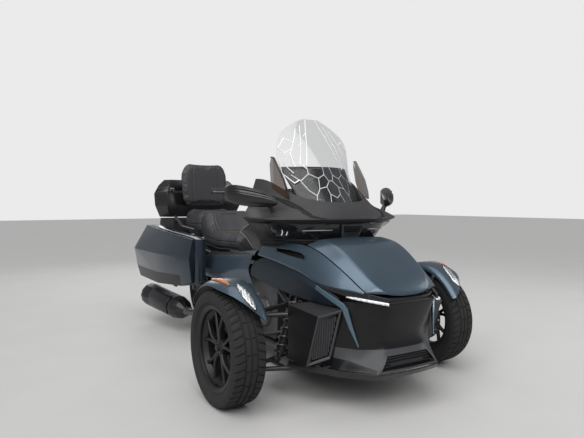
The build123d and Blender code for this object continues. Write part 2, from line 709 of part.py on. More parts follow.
def lamp_lens():
    """The dark lens band across the front of the fairing."""
    rows = []
    for z, half in FAIRING_LEVELS[1:3]:
        rows.append((z, across_plan(half[:4])[::-1]))
    return shell_z(rows, 7)


COCKPIT = [(44, 0), (30, -150), (-20, -205), (-110, -248), (-300, -284), (-500, -290)]


def upper_fairing(lens):
    """The fairing with its cockpit opening and its collar round the screen."""
    outline = COCKPIT + [(x, -y) for x, y in COCKPIT[:0:-1]]
    cockpit = prism_z(outline, 800, 1300)
    behind = prism_z([(-280, -260), (-500, -260), (-500, 260), (-280, 260)], 700, 900)
    return fairing_body() - cockpit - behind - lens


def arc_strip(x_mid, x_edge, y_edge, z, thickness):
    """A flat face between two arcs at height z."""
    front = ThreePointArc((x_edge, -y_edge, z), (x_mid, 0, z), (x_edge, y_edge, z))
    back = ThreePointArc((x_edge - thickness, -y_edge + 1, z), (x_mid - thickness, 0, z),
                         (x_edge - thickness, y_edge - 1, z))
    return make_face([front, Line(front @ 0, back @ 0), back, Line(front @ 1, back @ 1)])


def windshield():
    """The tall curved screen."""
    # each row: z, middle x, edge x, edge y
    rows = [(945, 38, -68, 186), (1040, -24, -140, 226), (1134, -88, -246, 252), (1250, -160, -262, 256),
            (1352, -224, -272, 252), (1420, -266, -292, 178), (1460, -288, -299, 112), (1484, -300, -303, 56)]
    return loft([arc_strip(mid, edge, y, z, GLASS_T) for z, mid, edge, y in rows], ruled=True)


def screen_panel():
    """The dark panel behind the foot of the screen."""
    rows = [(945, 22, -78, 172), (1040, -40, -144, 210), (1190, -134, -262, 236)]
    return loft([arc_strip(mid, edge, y, z, GLASS_T) for z, mid, edge, y in rows], ruled=True)


def deflector_right(fairing):
    """The smoked wind deflector that stands on the fairing beside the screen."""
    # each row: z, front x and y, rear x and y
    rows = [(1000, -86, 262, -205, 300), (1090, -112, 270, -236, 303), (1180, -182, 276, -266, 300),
            (1240, -236, 280, -284, 296)]
    plates = []
    for z, x0, y0, x1, y1 in rows:
        plates.append([(x0, -y0, z), (x0, -y0 - GLASS_T, z), (x1, -y1 - GLASS_T, z), (x1, -y1, z)])
    return closed_loft(plates) - fairing


def mirror_right():
    """The right mirror: its housing, a blade lip under it and its arm to the fairing."""
    # each row: y, centre x and z, depth and height of the housing there
    sections = []
    for y, x, z, deep, tall in ((-390, -44, 984, 66, 48), (-440, -100, 1002, 112, 92),
                                (-520, -190, 1022, 118, 112), (-570, -258, 1036, 62, 84)):
        sections.append([
            (x + deep * 0.5, y, z - tall * 0.05), (x + deep * 0.1, y, z + tall * 0.5),
            (x - deep * 0.5, y, z + tall * 0.42), (x - deep * 0.55, y, z - tall * 0.4),
            (x, y, z - tall * 0.5),
        ])
    housing = closed_loft(sections)
    glass = closed_loft([
        [(x - deep * 0.56, y, z + tall * 0.3), (x - deep * 0.48, y, z + tall * 0.3),
         (x - deep * 0.5, y, z - tall * 0.28), (x - deep * 0.58, y, z - tall * 0.28)]
        for y, x, z, deep, tall in ((-430, -92, 998, 108, 80), (-555, -236, 1032, 70, 84))
    ])
    return housing - glass + bar((-76, -380, 920), (-80, -410, 975), 14)


def dash_panel():
    """The dash with its display, tilted to the rider."""
    side = [(-130, 802), (-150, 1000), (-200, 1062), (-240, 1060), (-300, 930), (-330, 802)]
    dash = prism_y(side, -225, 225)
    display = Plane(origin=(-276, 0, 996), x_dir=(0, 1, 0), z_dir=(-0.91, 0, 0.42))
    return dash - display * Box(240, 110, 12)


def leg_shields():
    """The dark shield behind each quarter panel."""
    side = [(-336, 740), (-336, 862), (-470, 868), (-616, 812), (-600, 790), (-420, 696), (-350, 700)]
    return both(prism_y(side, -306, -286))


def console():
    """The body between dash and seat, with the steering bore and the boots of the dash."""
    side = [(-336, 600), (-336, 880), (-520, 900), (-690, 868), (-960, 752), (-960, 600)]
    piece = prism_y(side, -150, 150)
    axis = Vector(*STEM_AXIS).normalized()
    foot = Vector(*STEM_FOOT)
    return piece - bar(foot - axis * 76, foot + axis * 200, STEM_R + BORE_GAP)


def seat_sill_right():
    """The dark sill that closes the gap between the side panel and the saddle on the right."""
    # each row: x, then outer, shoulder and inner edge y and z
    rows = [
        (-1270, [(-262, 588), (-242, 620), (-152, 631)]),
        (-1180, [(-260, 594), (-240, 622), (-152, 631)]),
        (-960, [(-256, 612), (-238, 634), (-152, 639)]),
        (-560, [(-243, 650), (-224, 678), (-152, 700)]),
    ]
    return shell_x(rows, PANEL_T)


def side_panel_right():
    """The painted panel below the seat on the right."""
    rows = [
        (-1440, [(-250, 452), (-286, 520), (-272, 596)]),
        (-1000, [(-254, 436), (-290, 520), (-262, 622)]),
        (-560, [(-252, 480), (-284, 570), (-250, 664)]),
    ]
    return shell_x(rows, -PANEL_T)


# Seats

def seat_body(side, plan):
    """A cushion with this side outline (x, z), held within this half plan outline (x, y)."""
    whole = plan + [(x, -y) for x, y in plan[::-1]]
    return prism_y(side, -400, 400) & prism_z(whole, 500, 1400)


def driver_seat():
    """The rider's saddle, level where the rider sits and rising to the lumbar pad."""
    side = [(-966, 660), (-966, 742), (-1010, 756), (-1090, 750), (-1260, 750), (-1330, 774), (-1400, 838),
            (-1450, 905), (-1490, 918), (-1528, 905), (-1528, 690), (-1300, 640), (-1060, 640)]
    plan = [(-966, -120), (-1080, -165), (-1200, -205), (-1400, -212), (-1500, -190), (-1530, -150)]
    return seat_body(side, plan)


def passenger_seat():
    """The passenger's saddle behind it."""
    side = [(-1534, 720), (-1534, 880), (-1600, 905), (-1760, 900), (-1880, 930), (-1884, 760), (-1700, 716)]
    plan = [(-1534, -160), (-1600, -215), (-1800, -220), (-1884, -190)]
    return seat_body(side, plan)


def backrest():
    """The passenger's backrest."""
    side = [(-1893, 955), (-1918, 1310), (-1972, 1306), (-1950, 955)]
    front = [(-150, 955), (-195, 1010), (-205, 1200), (-180, 1290), (-150, 1310)]
    whole = front + [(-y, z) for y, z in front[::-1]]
    return prism_y(side, -300, 300) & prism_x(whole, -2100, -1800)


# Luggage

def case_loft(levels, shrink=0):
    """The pannier's outer form, or its hollow when shrunk, on the right side."""
    sections = []
    for x, inner_y, top_y, top_z, mid_y, mid_z, low_y, low_z in levels:
        if shrink:
            x += shrink if x < -1600 else -shrink
        sections.append([
            (x, -inner_y - shrink, low_z + shrink), (x, -inner_y - shrink, top_z - shrink),
            (x, -top_y + shrink, top_z - shrink), (x, -mid_y + shrink, mid_z),
            (x, -low_y + shrink, low_z + shrink),
        ])
    return closed_loft(sections)


PANNIER_LEVELS = [
    # each row: x, inner y, top y and z, widest y and z, bottom y and z
    (-1085, 342, 440, 730, 468, 600, 448, 432),
    (-1200, 335, 452, 742, 500, 600, 478, 400),
    (-1640, 335, 452, 765, 536, 600, 500, 368),
    (-2120, 335, 440, 795, 540, 600, 495, 372),
    (-2225, 342, 425, 740, 520, 600, 490, 440),
]


def panniers_right():
    """The right pannier as its shell and its lid, split along a flat plane."""
    solid = case_loft(PANNIER_LEVELS) - case_loft(PANNIER_LEVELS, CASE_T)
    shell = solid & block(-2400, -900, -PANNIER_SPLIT, -200, 200, 1000)
    lid = solid & block(-2400, -900, -700, -PANNIER_SPLIT - SEAM, 200, 1000)
    y, z = PANNIER_HINGE
    for x in (-1830, -1480):
        shell -= bar((x - 12, y, z), (x + 12, y, z), KNUCKLE_R + 2)
        for low, high in ((x - 28, x - 11), (x + 11, x + 28)):
            lid -= bar((low - 1, y, z), (high + 1, y, z), KNUCKLE_R + 2)
            shell += bar((low, y, z), (high, y, z), KNUCKLE_R)
            shell += block(low, high, y + 1, y + KNUCKLE_R, z, 388)
        shell += bar((x - 28, y, z), (x + 28, y, z), PIN_R)
        knuckle = bar((x - 10, y, z), (x + 10, y, z), KNUCKLE_R) + block(x - 10, x + 10, y - 8, y - 2, z, 386)
        lid += knuckle - bar((x - 10, y, z), (x + 10, y, z), PIN_R + 0.1)
    return shell, lid


TOP_CASE_LEVELS = [
    # each row: z, then half the plan outline from the front centre to the rear centre
    (862, [(-1992, 0), (-1990, 200), (-1965, 300), (-2080, 345), (-2215, 280), (-2235, 0)]),
    (960, [(-1990, 0), (-1988, 215), (-1920, 330), (-2060, 392), (-2232, 330), (-2253, 0)]),
    (1060, [(-1990, 0), (-1988, 215), (-1925, 330), (-2060, 400), (-2232, 335), (-2253, 0)]),
    (1180, [(-2062, 0), (-2060, 170), (-2040, 260), (-2090, 300), (-2190, 260), (-2205, 0)]),
]


def top_case_form(shrink=0):
    """The top case's outer form, or its hollow when shrunk."""
    sections = []
    for z, half in TOP_CASE_LEVELS:
        if shrink:
            z += shrink if z < 900 else (-shrink if z > 1100 else 0)
        plan = []
        for x, y in half:
            toward = 1 if x < -2070 else -1
            plan.append((x + toward * shrink, y - shrink if y > 0 else 0))
        outline = plan + [(x, -y) for x, y in plan[-2:0:-1]]
        sections.append([(x, y, z) for x, y in outline])
    return closed_loft(sections)


def top_case():
    """The top case as its shell and its lid, split along a plane that falls to the rear."""
    solid = top_case_form() - top_case_form(CASE_T)
    front, rear = (-1850, 1128), (-2300, 1003)
    below = prism_y([front, rear, (-2300, 700), (-1850, 700)], -500, 500)
    above = prism_y([(front[0], front[1] + SEAM), (rear[0], rear[1] + SEAM), (-2300, 1400), (-1850, 1400)],
                    -500, 500)
    shell, lid = solid & below, solid & above
    x, z = TOP_CASE_HINGE
    for span in ((-298, -262), (262, 298)):
        fixed, knuckle, room_lid, room_fixed = hinge_y(TOP_CASE_HINGE, *span)
        third = (span[1] - span[0]) / 3
        for start in (span[0], span[1] - third):
            fixed += block(x - 20, x + 4, start, start + third, z - 18, z - 5)
        knuckle += block(x - 30, x - 4, span[0] + third + 1, span[1] - third - 1, z + 1, z + 9)
        shell = shell - room_fixed + fixed
        for room in room_lid:
            lid -= room
        lid += knuckle
    return shell, lid


# Tail

def rear_fender():
    """The inner fender over the rear tyre, with the bare plate holder behind it."""
    centre = (-WHEELBASE, REAR_TYRE_R)
    profile = [(330, -150), (345, -140), (345, 140), (330, 150), (326, 146), (341, 137), (341, -137), (326, -146)]
    fender = spun(profile, centre, 0, 60, 110)
    holder = prism_y([(-2040, 400), (-2175, 560), (-2150, 570), (-2050, 450)], -40, 40)
    plate = prism_y([(-2150, 470), (-2188, 620), (-2182, 622), (-2144, 472)], -95, 95)
    return fender + holder + plate


def tail_cowl():
    """The tail body that carries the lamps and the top case."""
    side = [(-1895, 720), (-1895, 850), (-2225, 850), (-2240, 800), (-2190, 720)]
    return prism_y(side, -290, 290)


def tail_lamps():
    """The two rear lamps on the cowl's back face."""
    lamp = prism_y([(-2249, 800), (-2235, 846), (-2228, 846), (-2242, 800)], -280, -90)
    return both(lamp)


def grab_handles():
    """A handle on each side of the passenger's seat."""
    route = [(-1878, -270, 828), (-1830, -296, 872), (-1650, -300, 796), (-1600, -224, 770)]
    return both(pipe(route, 11, 24))


def footboards(frames):
    """The rider's ribbed boards with the brackets that stand on the lower rails."""
    board = block(-860, -600, -420, -262, 238, 250)
    for y in range(-410, -270, 20):
        board += block(-850, -610, y, y + 8, 250, 253)
    for x in (-820, -640):
        board += bar((x, -274, 243), (x, -228, 156), 9)
    return both(board - frames)


def build_all():
    """Every node of the vehicle, by name."""
    nodes = {}
    nodes.update(front_wheels())
    nodes.update(rear_wheel())
    tubes = side_frame_tubes()
    nodes["frame_left"] = joined([mirror_y(tube) for tube in tubes])
    nodes["frame_right"] = mirror_y(nodes["frame_left"])
    frames = nodes["frame_right"] + nodes["frame_left"]
    nodes["cross_bars"] = cross_bars(frames)
    nodes["engine"] = engine()
    nodes["wishbones"] = wishbones()
    nodes["shocks"] = front_shocks() + rear_shock()
    nodes["swingarm"] = swingarm()
    nodes["drive_belt"] = drive_belt()
    nodes["exhaust"] = exhaust()
    nodes["belly_pan"] = belly_pan()
    nodes["tie_rods"] = tie_rods()
    nodes["handlebar"] = handlebar()
    nodes["grips"] = grips()
    nodes["trunk_lid"] = trunk_lid()
    nodes["headlamps"] = headlamps()
    nodes["trim_blades"] = trim_blades()
    nodes["nose_mask"] = nose_mask() - nodes["headlamps"] - nodes["trim_blades"] + chin_lip()
    nodes["front_bin"] = front_bin()
    nodes["lamp_lens"] = lamp_lens()
    nodes["upper_fairing"] = upper_fairing(nodes["lamp_lens"])
    nodes["windshield"] = windshield()
    nodes["screen_panel"] = screen_panel()
    nodes["console"] = console() + dash_panel() + both(seat_sill_right())
    nodes["driver_seat"] = driver_seat()
    nodes["passenger_seat"] = passenger_seat()
    nodes["backrest"] = backrest()
    nodes["top_case"], nodes["top_case_lid"] = top_case()
    nodes["tail_body"] = rear_fender() + tail_cowl()
    nodes["tail_lamps"] = tail_lamps()
    nodes["grab_handles"] = grab_handles()
    nodes["footboards"] = footboards(frames)
    nodes["quarter_panels"] = both(quarter_panel_right())
    nodes["flanks"] = both(flank_right()) + leg_shields()
    nodes["air_scoops"] = both(air_scoop_right())
    nodes["mirrors"] = both(mirror_right() - nodes["upper_fairing"])
    nodes["deflectors"] = both(deflector_right(nodes["upper_fairing"]))
    nodes["side_panels"] = both(side_panel_right())
    shell, lid = panniers_right()
    nodes["panniers"] = both(shell)
    guard = mudguard_right()
    right = {
        "knuckle": knuckle_right(), "mudguard": guard, "mudguard_lamp": mudguard_lamp_right() - guard,
        "pannier_lid": lid,
    }
    for name, shape in right.items():
        nodes[name + "_right"] = shape
        nodes[name + "_left"] = mirror_y(shape)
    return nodes


def main():
    """Build every node and write one STEP file for each."""
    os.makedirs("parts", exist_ok=True)
    for name, shape in build_all().items():
        moved = Pos(ORIGIN_SHIFT, 0, 0) * shape
        export_step(moved, "parts/" + name + ".step")


main()
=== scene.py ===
"""Touring trike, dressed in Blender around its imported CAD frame."""

import json
import logging
import math
from dataclasses import dataclass
from enum import Enum
from typing import Callable, Sequence

import bmesh
import bpy
from mathutils import Matrix, Vector
from mathutils.bvhtree import BVHTree
from mathutils.kdtree import KDTree

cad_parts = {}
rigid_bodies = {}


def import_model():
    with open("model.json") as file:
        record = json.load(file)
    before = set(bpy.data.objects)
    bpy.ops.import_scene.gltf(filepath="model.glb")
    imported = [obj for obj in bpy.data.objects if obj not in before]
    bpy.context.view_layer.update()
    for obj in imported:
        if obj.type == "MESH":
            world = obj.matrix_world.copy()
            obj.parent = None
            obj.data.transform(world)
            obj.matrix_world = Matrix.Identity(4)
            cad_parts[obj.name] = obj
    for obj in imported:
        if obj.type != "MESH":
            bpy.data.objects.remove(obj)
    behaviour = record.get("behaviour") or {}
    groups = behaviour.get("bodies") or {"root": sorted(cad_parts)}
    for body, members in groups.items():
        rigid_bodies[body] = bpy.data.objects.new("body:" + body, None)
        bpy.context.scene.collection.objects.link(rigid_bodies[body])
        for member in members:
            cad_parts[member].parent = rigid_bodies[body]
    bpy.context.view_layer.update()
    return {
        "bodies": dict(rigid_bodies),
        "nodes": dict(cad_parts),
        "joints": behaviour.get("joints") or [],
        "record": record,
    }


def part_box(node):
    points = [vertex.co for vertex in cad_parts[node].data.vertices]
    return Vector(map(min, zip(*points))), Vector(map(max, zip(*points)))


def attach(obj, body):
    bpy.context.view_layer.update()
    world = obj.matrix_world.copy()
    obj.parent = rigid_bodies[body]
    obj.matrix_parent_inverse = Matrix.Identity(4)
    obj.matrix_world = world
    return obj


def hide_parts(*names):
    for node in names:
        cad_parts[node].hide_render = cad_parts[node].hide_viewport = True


LOG = logging.getLogger("trike")

# The pieces are drawn in millimetres from the front axle, as the part's source is
AXLE_X = 836.5
BASE = 1714.0
HUB_Z = 281.0
REAR_HUB_Z = 303.0
HUB_Y = 692.0

Point = tuple[float, float, float]
Pair = tuple[float, float]
Row = tuple[Point, ...]
Color = tuple[float, float, float]


def at(x: float, y: float, z: float) -> Vector:
    """A point given in millimetres from the front axle, in metres in the row frame."""
    return Vector(((x + AXLE_X) / 1000, y / 1000, z / 1000))


class Side(Enum):
    """The vehicle's two sides, by the sign of Y."""

    RIGHT = -1
    LEFT = 1

    @property
    def word(self) -> str:
        """The side's name in lower case."""
        return self.name.lower()

    def first(self, node: str) -> tuple[str, ...]:
        """A CAD node that holds both sides at once, which the right side's piece replaces."""
        return (node,) if self is Side.RIGHT else ()

    def line(self, points: Sequence[Point]) -> list[Point]:
        """Points drawn for the left side, put on this side."""
        return [(x, self.value * y, z) for x, y, z in points]

    def lines(self, rows: Sequence[Sequence[Point]]) -> list[list[Point]]:
        """Rows of points drawn for the left side, put on this side."""
        return [self.line(row) for row in rows]


def both(*makers: Callable[[Side], None]) -> None:
    """Run each maker for the right side and then for the left."""
    for make in makers:
        for side in Side:
            make(side)


def whole_width(half: Sequence[Point]) -> list[Point]:
    """A row of points from the centre line out, made whole from right to left."""
    return [(x, -y, z) for x, y, z in reversed(half) if y > 0] + list(half)


def near(value: float, target: float, slack: float = 0.6) -> bool:
    """Whether two numbers in millimetres are about the same."""
    return abs(value - target) < slack


# Shader building

def operation(name: str, swapped: bool = False) -> Callable[..., "Sock"]:
    """One of Sock's arithmetic methods, from the name of a Math node's operation.

    Args:
        name: the math node's operation.
        swapped: whether the two values change places.

    Returns:
        The method.
    """
    def method(sock: "Sock", other: "Value" = 0.0) -> "Sock":
        """Add the node, on vectors where either side is a vector."""
        pair = (other, sock) if swapped else (sock, other)
        wide = any(isinstance(part, Sock) and part.vector for part in pair)
        return (sock.shader.vector_math if wide else sock.shader.math)(name, *pair)
    return method


class Sock:
    """An output socket on which Python's arithmetic adds the nodes it needs."""

    def __init__(self, shader: "Shader", socket: bpy.types.NodeSocket, vector: bool = False) -> None:
        """Hold a socket of a shader, and whether it carries a vector or colour."""
        self.shader, self.socket, self.vector = shader, socket, vector

    __add__, __radd__ = operation("ADD"), operation("ADD", True)
    __sub__, __rsub__ = operation("SUBTRACT"), operation("SUBTRACT", True)
    __mul__, __rmul__ = operation("MULTIPLY"), operation("MULTIPLY", True)
    __abs__ = operation("ABSOLUTE")


Value = Sock | float | tuple[float, ...]


class Shader:
    """One material's node tree, built by calls."""

    def __init__(self, name: str) -> None:
        """Start a material with an empty Principled surface.

        Args:
            name: the material's name.
        """
        self.material = bpy.data.materials.new(name)
        self.material.use_nodes = True
        self.tree = self.material.node_tree
        self.tree.nodes.clear()
        self.output = self.tree.nodes.new("ShaderNodeOutputMaterial")
        self.surface = self.tree.nodes.new("ShaderNodeBsdfPrincipled")
        self.tree.links.new(self.surface.outputs[0], self.output.inputs["Surface"])

    def _feed(self, target: bpy.types.NodeSocket, value: Value) -> None:
        """Link a socket to a target, or set the target's own value.

        Args:
            target: the socket to fill.
            value: what fills it.
        """
        if isinstance(value, Sock):
            self.tree.links.new(value.socket, target)
        elif isinstance(value, tuple) and len(value) == 3 and target.type == "RGBA":
            target.default_value = (*value, 1.0)
        else:
            target.default_value = value

    def node(self, kind: str, values: dict[str | int, Value] | None = None, out: int | str = 0,
             vector: bool = False, **settings: object) -> Sock:
        """Add any node.

        Args:
            kind: the node's type, without its common prefix.
            values: numbers or links of its input sockets, by name or place.
            out: the output that is wanted.
            vector: whether that output is a vector or colour.
            settings: the node's own settings, which are set first.

        Returns:
            The wanted output.
        """
        node = self.tree.nodes.new("ShaderNode" + kind)
        for key, value in settings.items():
            setattr(node, key, value)
        for key, value in (values or {}).items():
            self._feed(node.inputs[key], value)
        return Sock(self, node.outputs[out], vector)

    def math(self, name: str, *values: Value) -> Sock:
        """A Math node on numbers."""
        return self.node("Math", dict(enumerate(values)), operation=name)

    def vector_math(self, name: str, *values: Value) -> Sock:
        """A Vector Math node; a plain number counts for all three parts."""
        parts = [(v, v, v) if isinstance(v, (int, float)) else v for v in values]
        return self.node("VectorMath", dict(enumerate(parts)), 0, True, operation=name)

    def place(self) -> Sock:
        """The surface point in object coordinates."""
        return self.node("TexCoord", None, "Object", True)

    def parts(self, vector: Sock) -> tuple[Sock, ...]:
        """The X, Y and Z of a vector."""
        node = self.node("SeparateXYZ", {0: vector}).socket.node
        return tuple(Sock(self, socket) for socket in node.outputs)

    def join(self, *parts: Value) -> Sock:
        """A vector from three numbers."""
        return self.node("CombineXYZ", dict(enumerate(parts)), 0, True)

    def noise(self, scale: float, detail: float = 3.0, rough: float = 0.5, where: Sock | None = None) -> Sock:
        """Soft noise between 0 and 1."""
        return self.node("TexNoise", {
            "Vector": where or self.place(), "Scale": scale, "Detail": detail, "Roughness": rough})

    def cells(self, scale: float, feature: str = "F1", where: Sock | None = None) -> Sock:
        """Distance within the cells of a Voronoi pattern."""
        return self.node("TexVoronoi", {"Vector": where or self.place(), "Scale": scale}, "Distance",
                         feature=feature)

    def ease(self, value: Value, low: float, high: float) -> Sock:
        """0 below low, 1 above high, smooth between; low may be above high."""
        return self.node("MapRange", {"Value": value, "From Min": low, "From Max": high},
                         interpolation_type="SMOOTHSTEP", clamp=True)

    def blend(self, share: Value, first: Value, second: Value) -> Sock:
        """One colour into another."""
        return self.node("Mix", {0: share, 6: first, 7: second}, 2, True, data_type="RGBA")

    def bump(self, height: Value, depth: float) -> Sock:
        """A normal bent by a height between 0 and 1, depth metres deep."""
        return self.node("Bump", {"Height": height, "Distance": depth, "Strength": 1.0}, 0, True)

    def finish(self, **values: Value) -> bpy.types.Material:
        """Set the surface's sockets, named with underscores for spaces, and give the material."""
        for key, value in values.items():
            self._feed(self.surface.inputs[key.replace("_", " ")], value)
        return self.material


@dataclass(frozen=True)
class Finish:
    """What a surface is made of; subclasses say how it is drawn."""

    name: str
    slot: str
    color: Color

    def material(self) -> bpy.types.Material:
        """The finish's material, made once."""
        return bpy.data.materials.get(self.name) or self.draw(Shader(self.name))

    def tint(self, factor: float, lift: float = 0.0) -> Color:
        """The colour made darker or lighter by a factor, then lifted."""
        return tuple(c * factor + lift for c in self.color)


@dataclass(frozen=True)
class Paint(Finish):
    """Sprayed metallic paint under a clear coat, with flakes and a faint orange peel."""

    metal: float = 0.6
    rough: float = 0.3
    coat: float = 0.6

    def draw(self, shader: Shader) -> bpy.types.Material:
        """Flakes in the colour, dust in the roughness, peel in the normal.

        Args:
            shader: the material's nodes.

        Returns:
            The material.
        """
        flakes = shader.cells(1500.0)
        cloud = shader.noise(5.0, 4.0, 0.6)
        tone = shader.blend(shader.ease(flakes, 0.2, 0.75), self.tint(1.18, 0.004), self.color)
        tone = shader.blend(shader.ease(cloud, 0.35, 0.75) * 0.5, tone, self.tint(0.86))
        haze = shader.ease(shader.noise(24.0, 5.0, 0.65), 0.45, 0.85)
        return shader.finish(
            Base_Color=tone, Metallic=self.metal, Roughness=self.rough + haze * 0.04, Coat_Weight=self.coat,
            Coat_Roughness=0.1, Normal=shader.bump(shader.noise(260.0, 2.0), 0.00006))


@dataclass(frozen=True)
class Plastic(Finish):
    """Moulded plastic, from grained matt to gloss."""

    rough: float = 0.5
    grain: float = 900.0
    depth: float = 0.00012
    coat: float = 0.0

    def draw(self, shader: Shader) -> bpy.types.Material:
        """Grain in the normal, handling marks and dust in colour and roughness.

        Args:
            shader: the material's nodes.

        Returns:
            The material.
        """
        pores = shader.cells(self.grain) * 0.6 + shader.noise(self.grain * 0.6, 2.0) * 0.4
        marks = shader.ease(shader.noise(16.0, 6.0, 0.7), 0.5, 0.8)
        dust = shader.ease(shader.noise(7.0, 4.0, 0.6), 0.4, 0.8) * 0.5
        return shader.finish(
            Base_Color=shader.blend(dust, self.color, self.tint(1.25, 0.006)),
            Roughness=self.rough + marks * 0.1 * (0.3 + self.rough), Coat_Weight=self.coat, Coat_Roughness=0.04,
            Specular_IOR_Level=0.2 if self.coat else 0.24, Normal=shader.bump(pores, self.depth))


@dataclass(frozen=True)
class Metal(Finish):
    """Cast, coated or brushed metal."""

    metal: float = 0.8
    rough: float = 0.4
    depth: float = 0.0001
    brushed: bool = False

    def draw(self, shader: Shader) -> bpy.types.Material:
        """Cast pits or brush lines, and a mottled tone.

        Args:
            shader: the material's nodes.

        Returns:
            The material.
        """
        place = shader.place()
        if self.brushed:
            x, y, z = shader.parts(place)
            relief = shader.noise(1.0, 4.0, 0.7, shader.join(x * 26.0, y * 900.0, z * 900.0))
        else:
            relief = shader.noise(350.0, 4.0, 0.6, place)
        mottle = shader.ease(shader.noise(14.0, 5.0, 0.6), 0.3, 0.75)
        return shader.finish(
            Base_Color=shader.blend(mottle, self.color, self.tint(0.72)), Metallic=self.metal,
            Roughness=self.rough - 0.08 + relief * 0.2, Normal=shader.bump(relief, self.depth))


@dataclass(frozen=True)
class Rubber(Finish):
    """Matt rubber: a tyre with sipes and sidewall rings, or a ribbed grip."""

    hub: Point | None = None
    half: float = 82.0
    radius: float = 281.0
    ribs: float = 0.0

    def draw(self, shader: Shader) -> bpy.types.Material:
        """Grain with a tyre's relief or a grip's ribs.

        Args:
            shader: the material's nodes.

        Returns:
            The material.
        """
        grain = shader.noise(700.0, 3.0, 0.6)
        height = grain * 0.25
        if self.hub:
            tone, height = self.tread(shader, height)
        else:
            if self.ribs:
                height = height + shader.math("SINE", shader.parts(shader.place())[1]
                                              * (math.tau * 1000 / self.ribs)) * 1.2
            tone = shader.blend(shader.noise(30.0, 4.0), self.color, self.tint(1.4))
        return shader.finish(
            Base_Color=tone, Roughness=0.66 + grain * 0.16, Specular_IOR_Level=0.24,
            Normal=shader.bump(height, 0.0006))

    def tread(self, shader: Shader, height: Sock) -> tuple[Sock, Sock]:
        """A tyre's tone and height: sipes across the tread with painted shade in them, rings on the wall, and patches
        of dust.
        """
        x, y, z = shader.parts(shader.place() - tuple(at(*self.hub)))
        turn = shader.math("ARCTAN2", z, x) * (1 / math.tau)
        radius = shader.math("SQRT", x * x + z * z)
        across = y * (1000 / self.half)
        lean = turn * 46.0 + abs(across) * 0.9
        wave = abs(shader.math("FRACT", lean) - 0.5)
        crown = shader.ease(radius, (self.radius - 26) / 1000, (self.radius - 12) / 1000)
        reach = shader.ease(abs(across), 0.28, 0.4)
        sipe = shader.ease(wave, 0.045, 0.02) * crown * reach
        rings = shader.math("SINE", radius * 900.0) * 0.5 + 0.5
        wall = (1.0 - crown) * shader.ease(abs(across), 0.7, 0.9) * rings
        height = height + wall * 0.3 + (1.0 - sipe) * 3.0
        # the sipes are painted darker, as painted shade in the grooves
        sipe_painted_shade = shader.blend(sipe, self.color, self.tint(0.3))
        dust = shader.ease(shader.noise(9.0, 5.0, 0.7), 0.45, 0.8) * 0.4
        return shader.blend(dust, sipe_painted_shade, self.tint(1.5, 0.008)), height


@dataclass(frozen=True)
class Vinyl(Finish):
    """Seat vinyl with a leather grain, faint creases and worn highlights."""

    def draw(self, shader: Shader) -> bpy.types.Material:
        """Pebbled cells with painted shade in the valleys between them, long soft creases and a rubbed tone.

        Args:
            shader: the material's nodes.

        Returns:
            The material.
        """
        warp = shader.place() + shader.node("TexNoise", {
            "Vector": shader.place(), "Scale": 60.0, "Detail": 3.0}, "Color", True) * 0.004
        pebbles = shader.cells(520.0, "DISTANCE_TO_EDGE", warp)
        creases = shader.ease(shader.noise(34.0, 6.0, 0.75), 0.42, 0.55)
        worn = shader.ease(shader.noise(6.0, 5.0, 0.6), 0.45, 0.75)
        tone = shader.blend(worn * 0.6, self.color, self.tint(1.5, 0.006))
        # the valleys between the pebbles are painted darker, as painted shade
        tone = shader.blend(shader.ease(pebbles, 0.08, 0.0) * 0.5, tone, self.tint(0.4))
        height = shader.ease(pebbles, 0.0, 0.16) + creases * 0.4
        return shader.finish(
            Base_Color=tone, Roughness=0.46 + worn * 0.1, Specular_IOR_Level=0.3,
            Normal=shader.bump(height, 0.00022))


@dataclass(frozen=True)
class Glass(Finish):
    """A clear or smoked sheet that shows more of itself at a grazing look."""

    clear: float = 0.8

    def draw(self, shader: Shader) -> bpy.types.Material:
        """Alpha from the tint and the grazing share, with wiped streaks in the roughness.

        Args:
            shader: the material's nodes.

        Returns:
            The material.
        """
        edge = shader.node("Fresnel", {"IOR": 1.45})
        streaks = shader.noise(40.0, 5.0, 0.7)
        return shader.finish(
            Base_Color=self.color, Roughness=0.03 + streaks * 0.05,
            Alpha=(1.0 - self.clear) + edge * (0.4 * self.clear), Specular_IOR_Level=0.5)


@dataclass(frozen=True)
class LinedSheet(Finish):
    """A clear or dark sheet that carries straight pale lines of the builder's own layout."""

    # each row: y and z of both ends and the line's half width, in millimetres; mirrored to both sides
    lines: tuple[tuple[float, ...], ...] = ()
    clear: float = 0.0
    rough: float = 0.04

    def draw(self, shader: Shader) -> bpy.types.Material:
        """The sheet, with every line drawn as a distance from its own segment.

        Args:
            shader: the material's nodes.

        Returns:
            The material.
        """
        _, y, z = shader.parts(shader.place())
        side, up = abs(y) * 1000, z * 1000
        ink: Sock | None = None
        for y0, z0, y1, z1, half in self.lines:
            dy, dz = y1 - y0, z1 - z0
            length = math.hypot(dy, dz)
            along = (side - y0) * (dy / length) + (up - z0) * (dz / length)
            off = abs((side - y0) * (dz / length) - (up - z0) * (dy / length))
            within = shader.ease(abs(along - length / 2), length / 2 + half + 0.6, length / 2 + half - 0.6)
            mark = shader.ease(off, half + 0.7, half - 0.7) * within
            ink = shader.math("MAXIMUM", ink, mark) if ink else mark
        edge = shader.node("Fresnel", {"IOR": 1.45})
        base = (1.0 - self.clear) + edge * (0.3 * self.clear)
        return shader.finish(
            Base_Color=shader.blend(ink, self.color, (0.8, 0.8, 0.8)), Roughness=self.rough + ink * 0.3,
            Alpha=shader.math("MAXIMUM", base, ink * 0.95), Specular_IOR_Level=0.5)


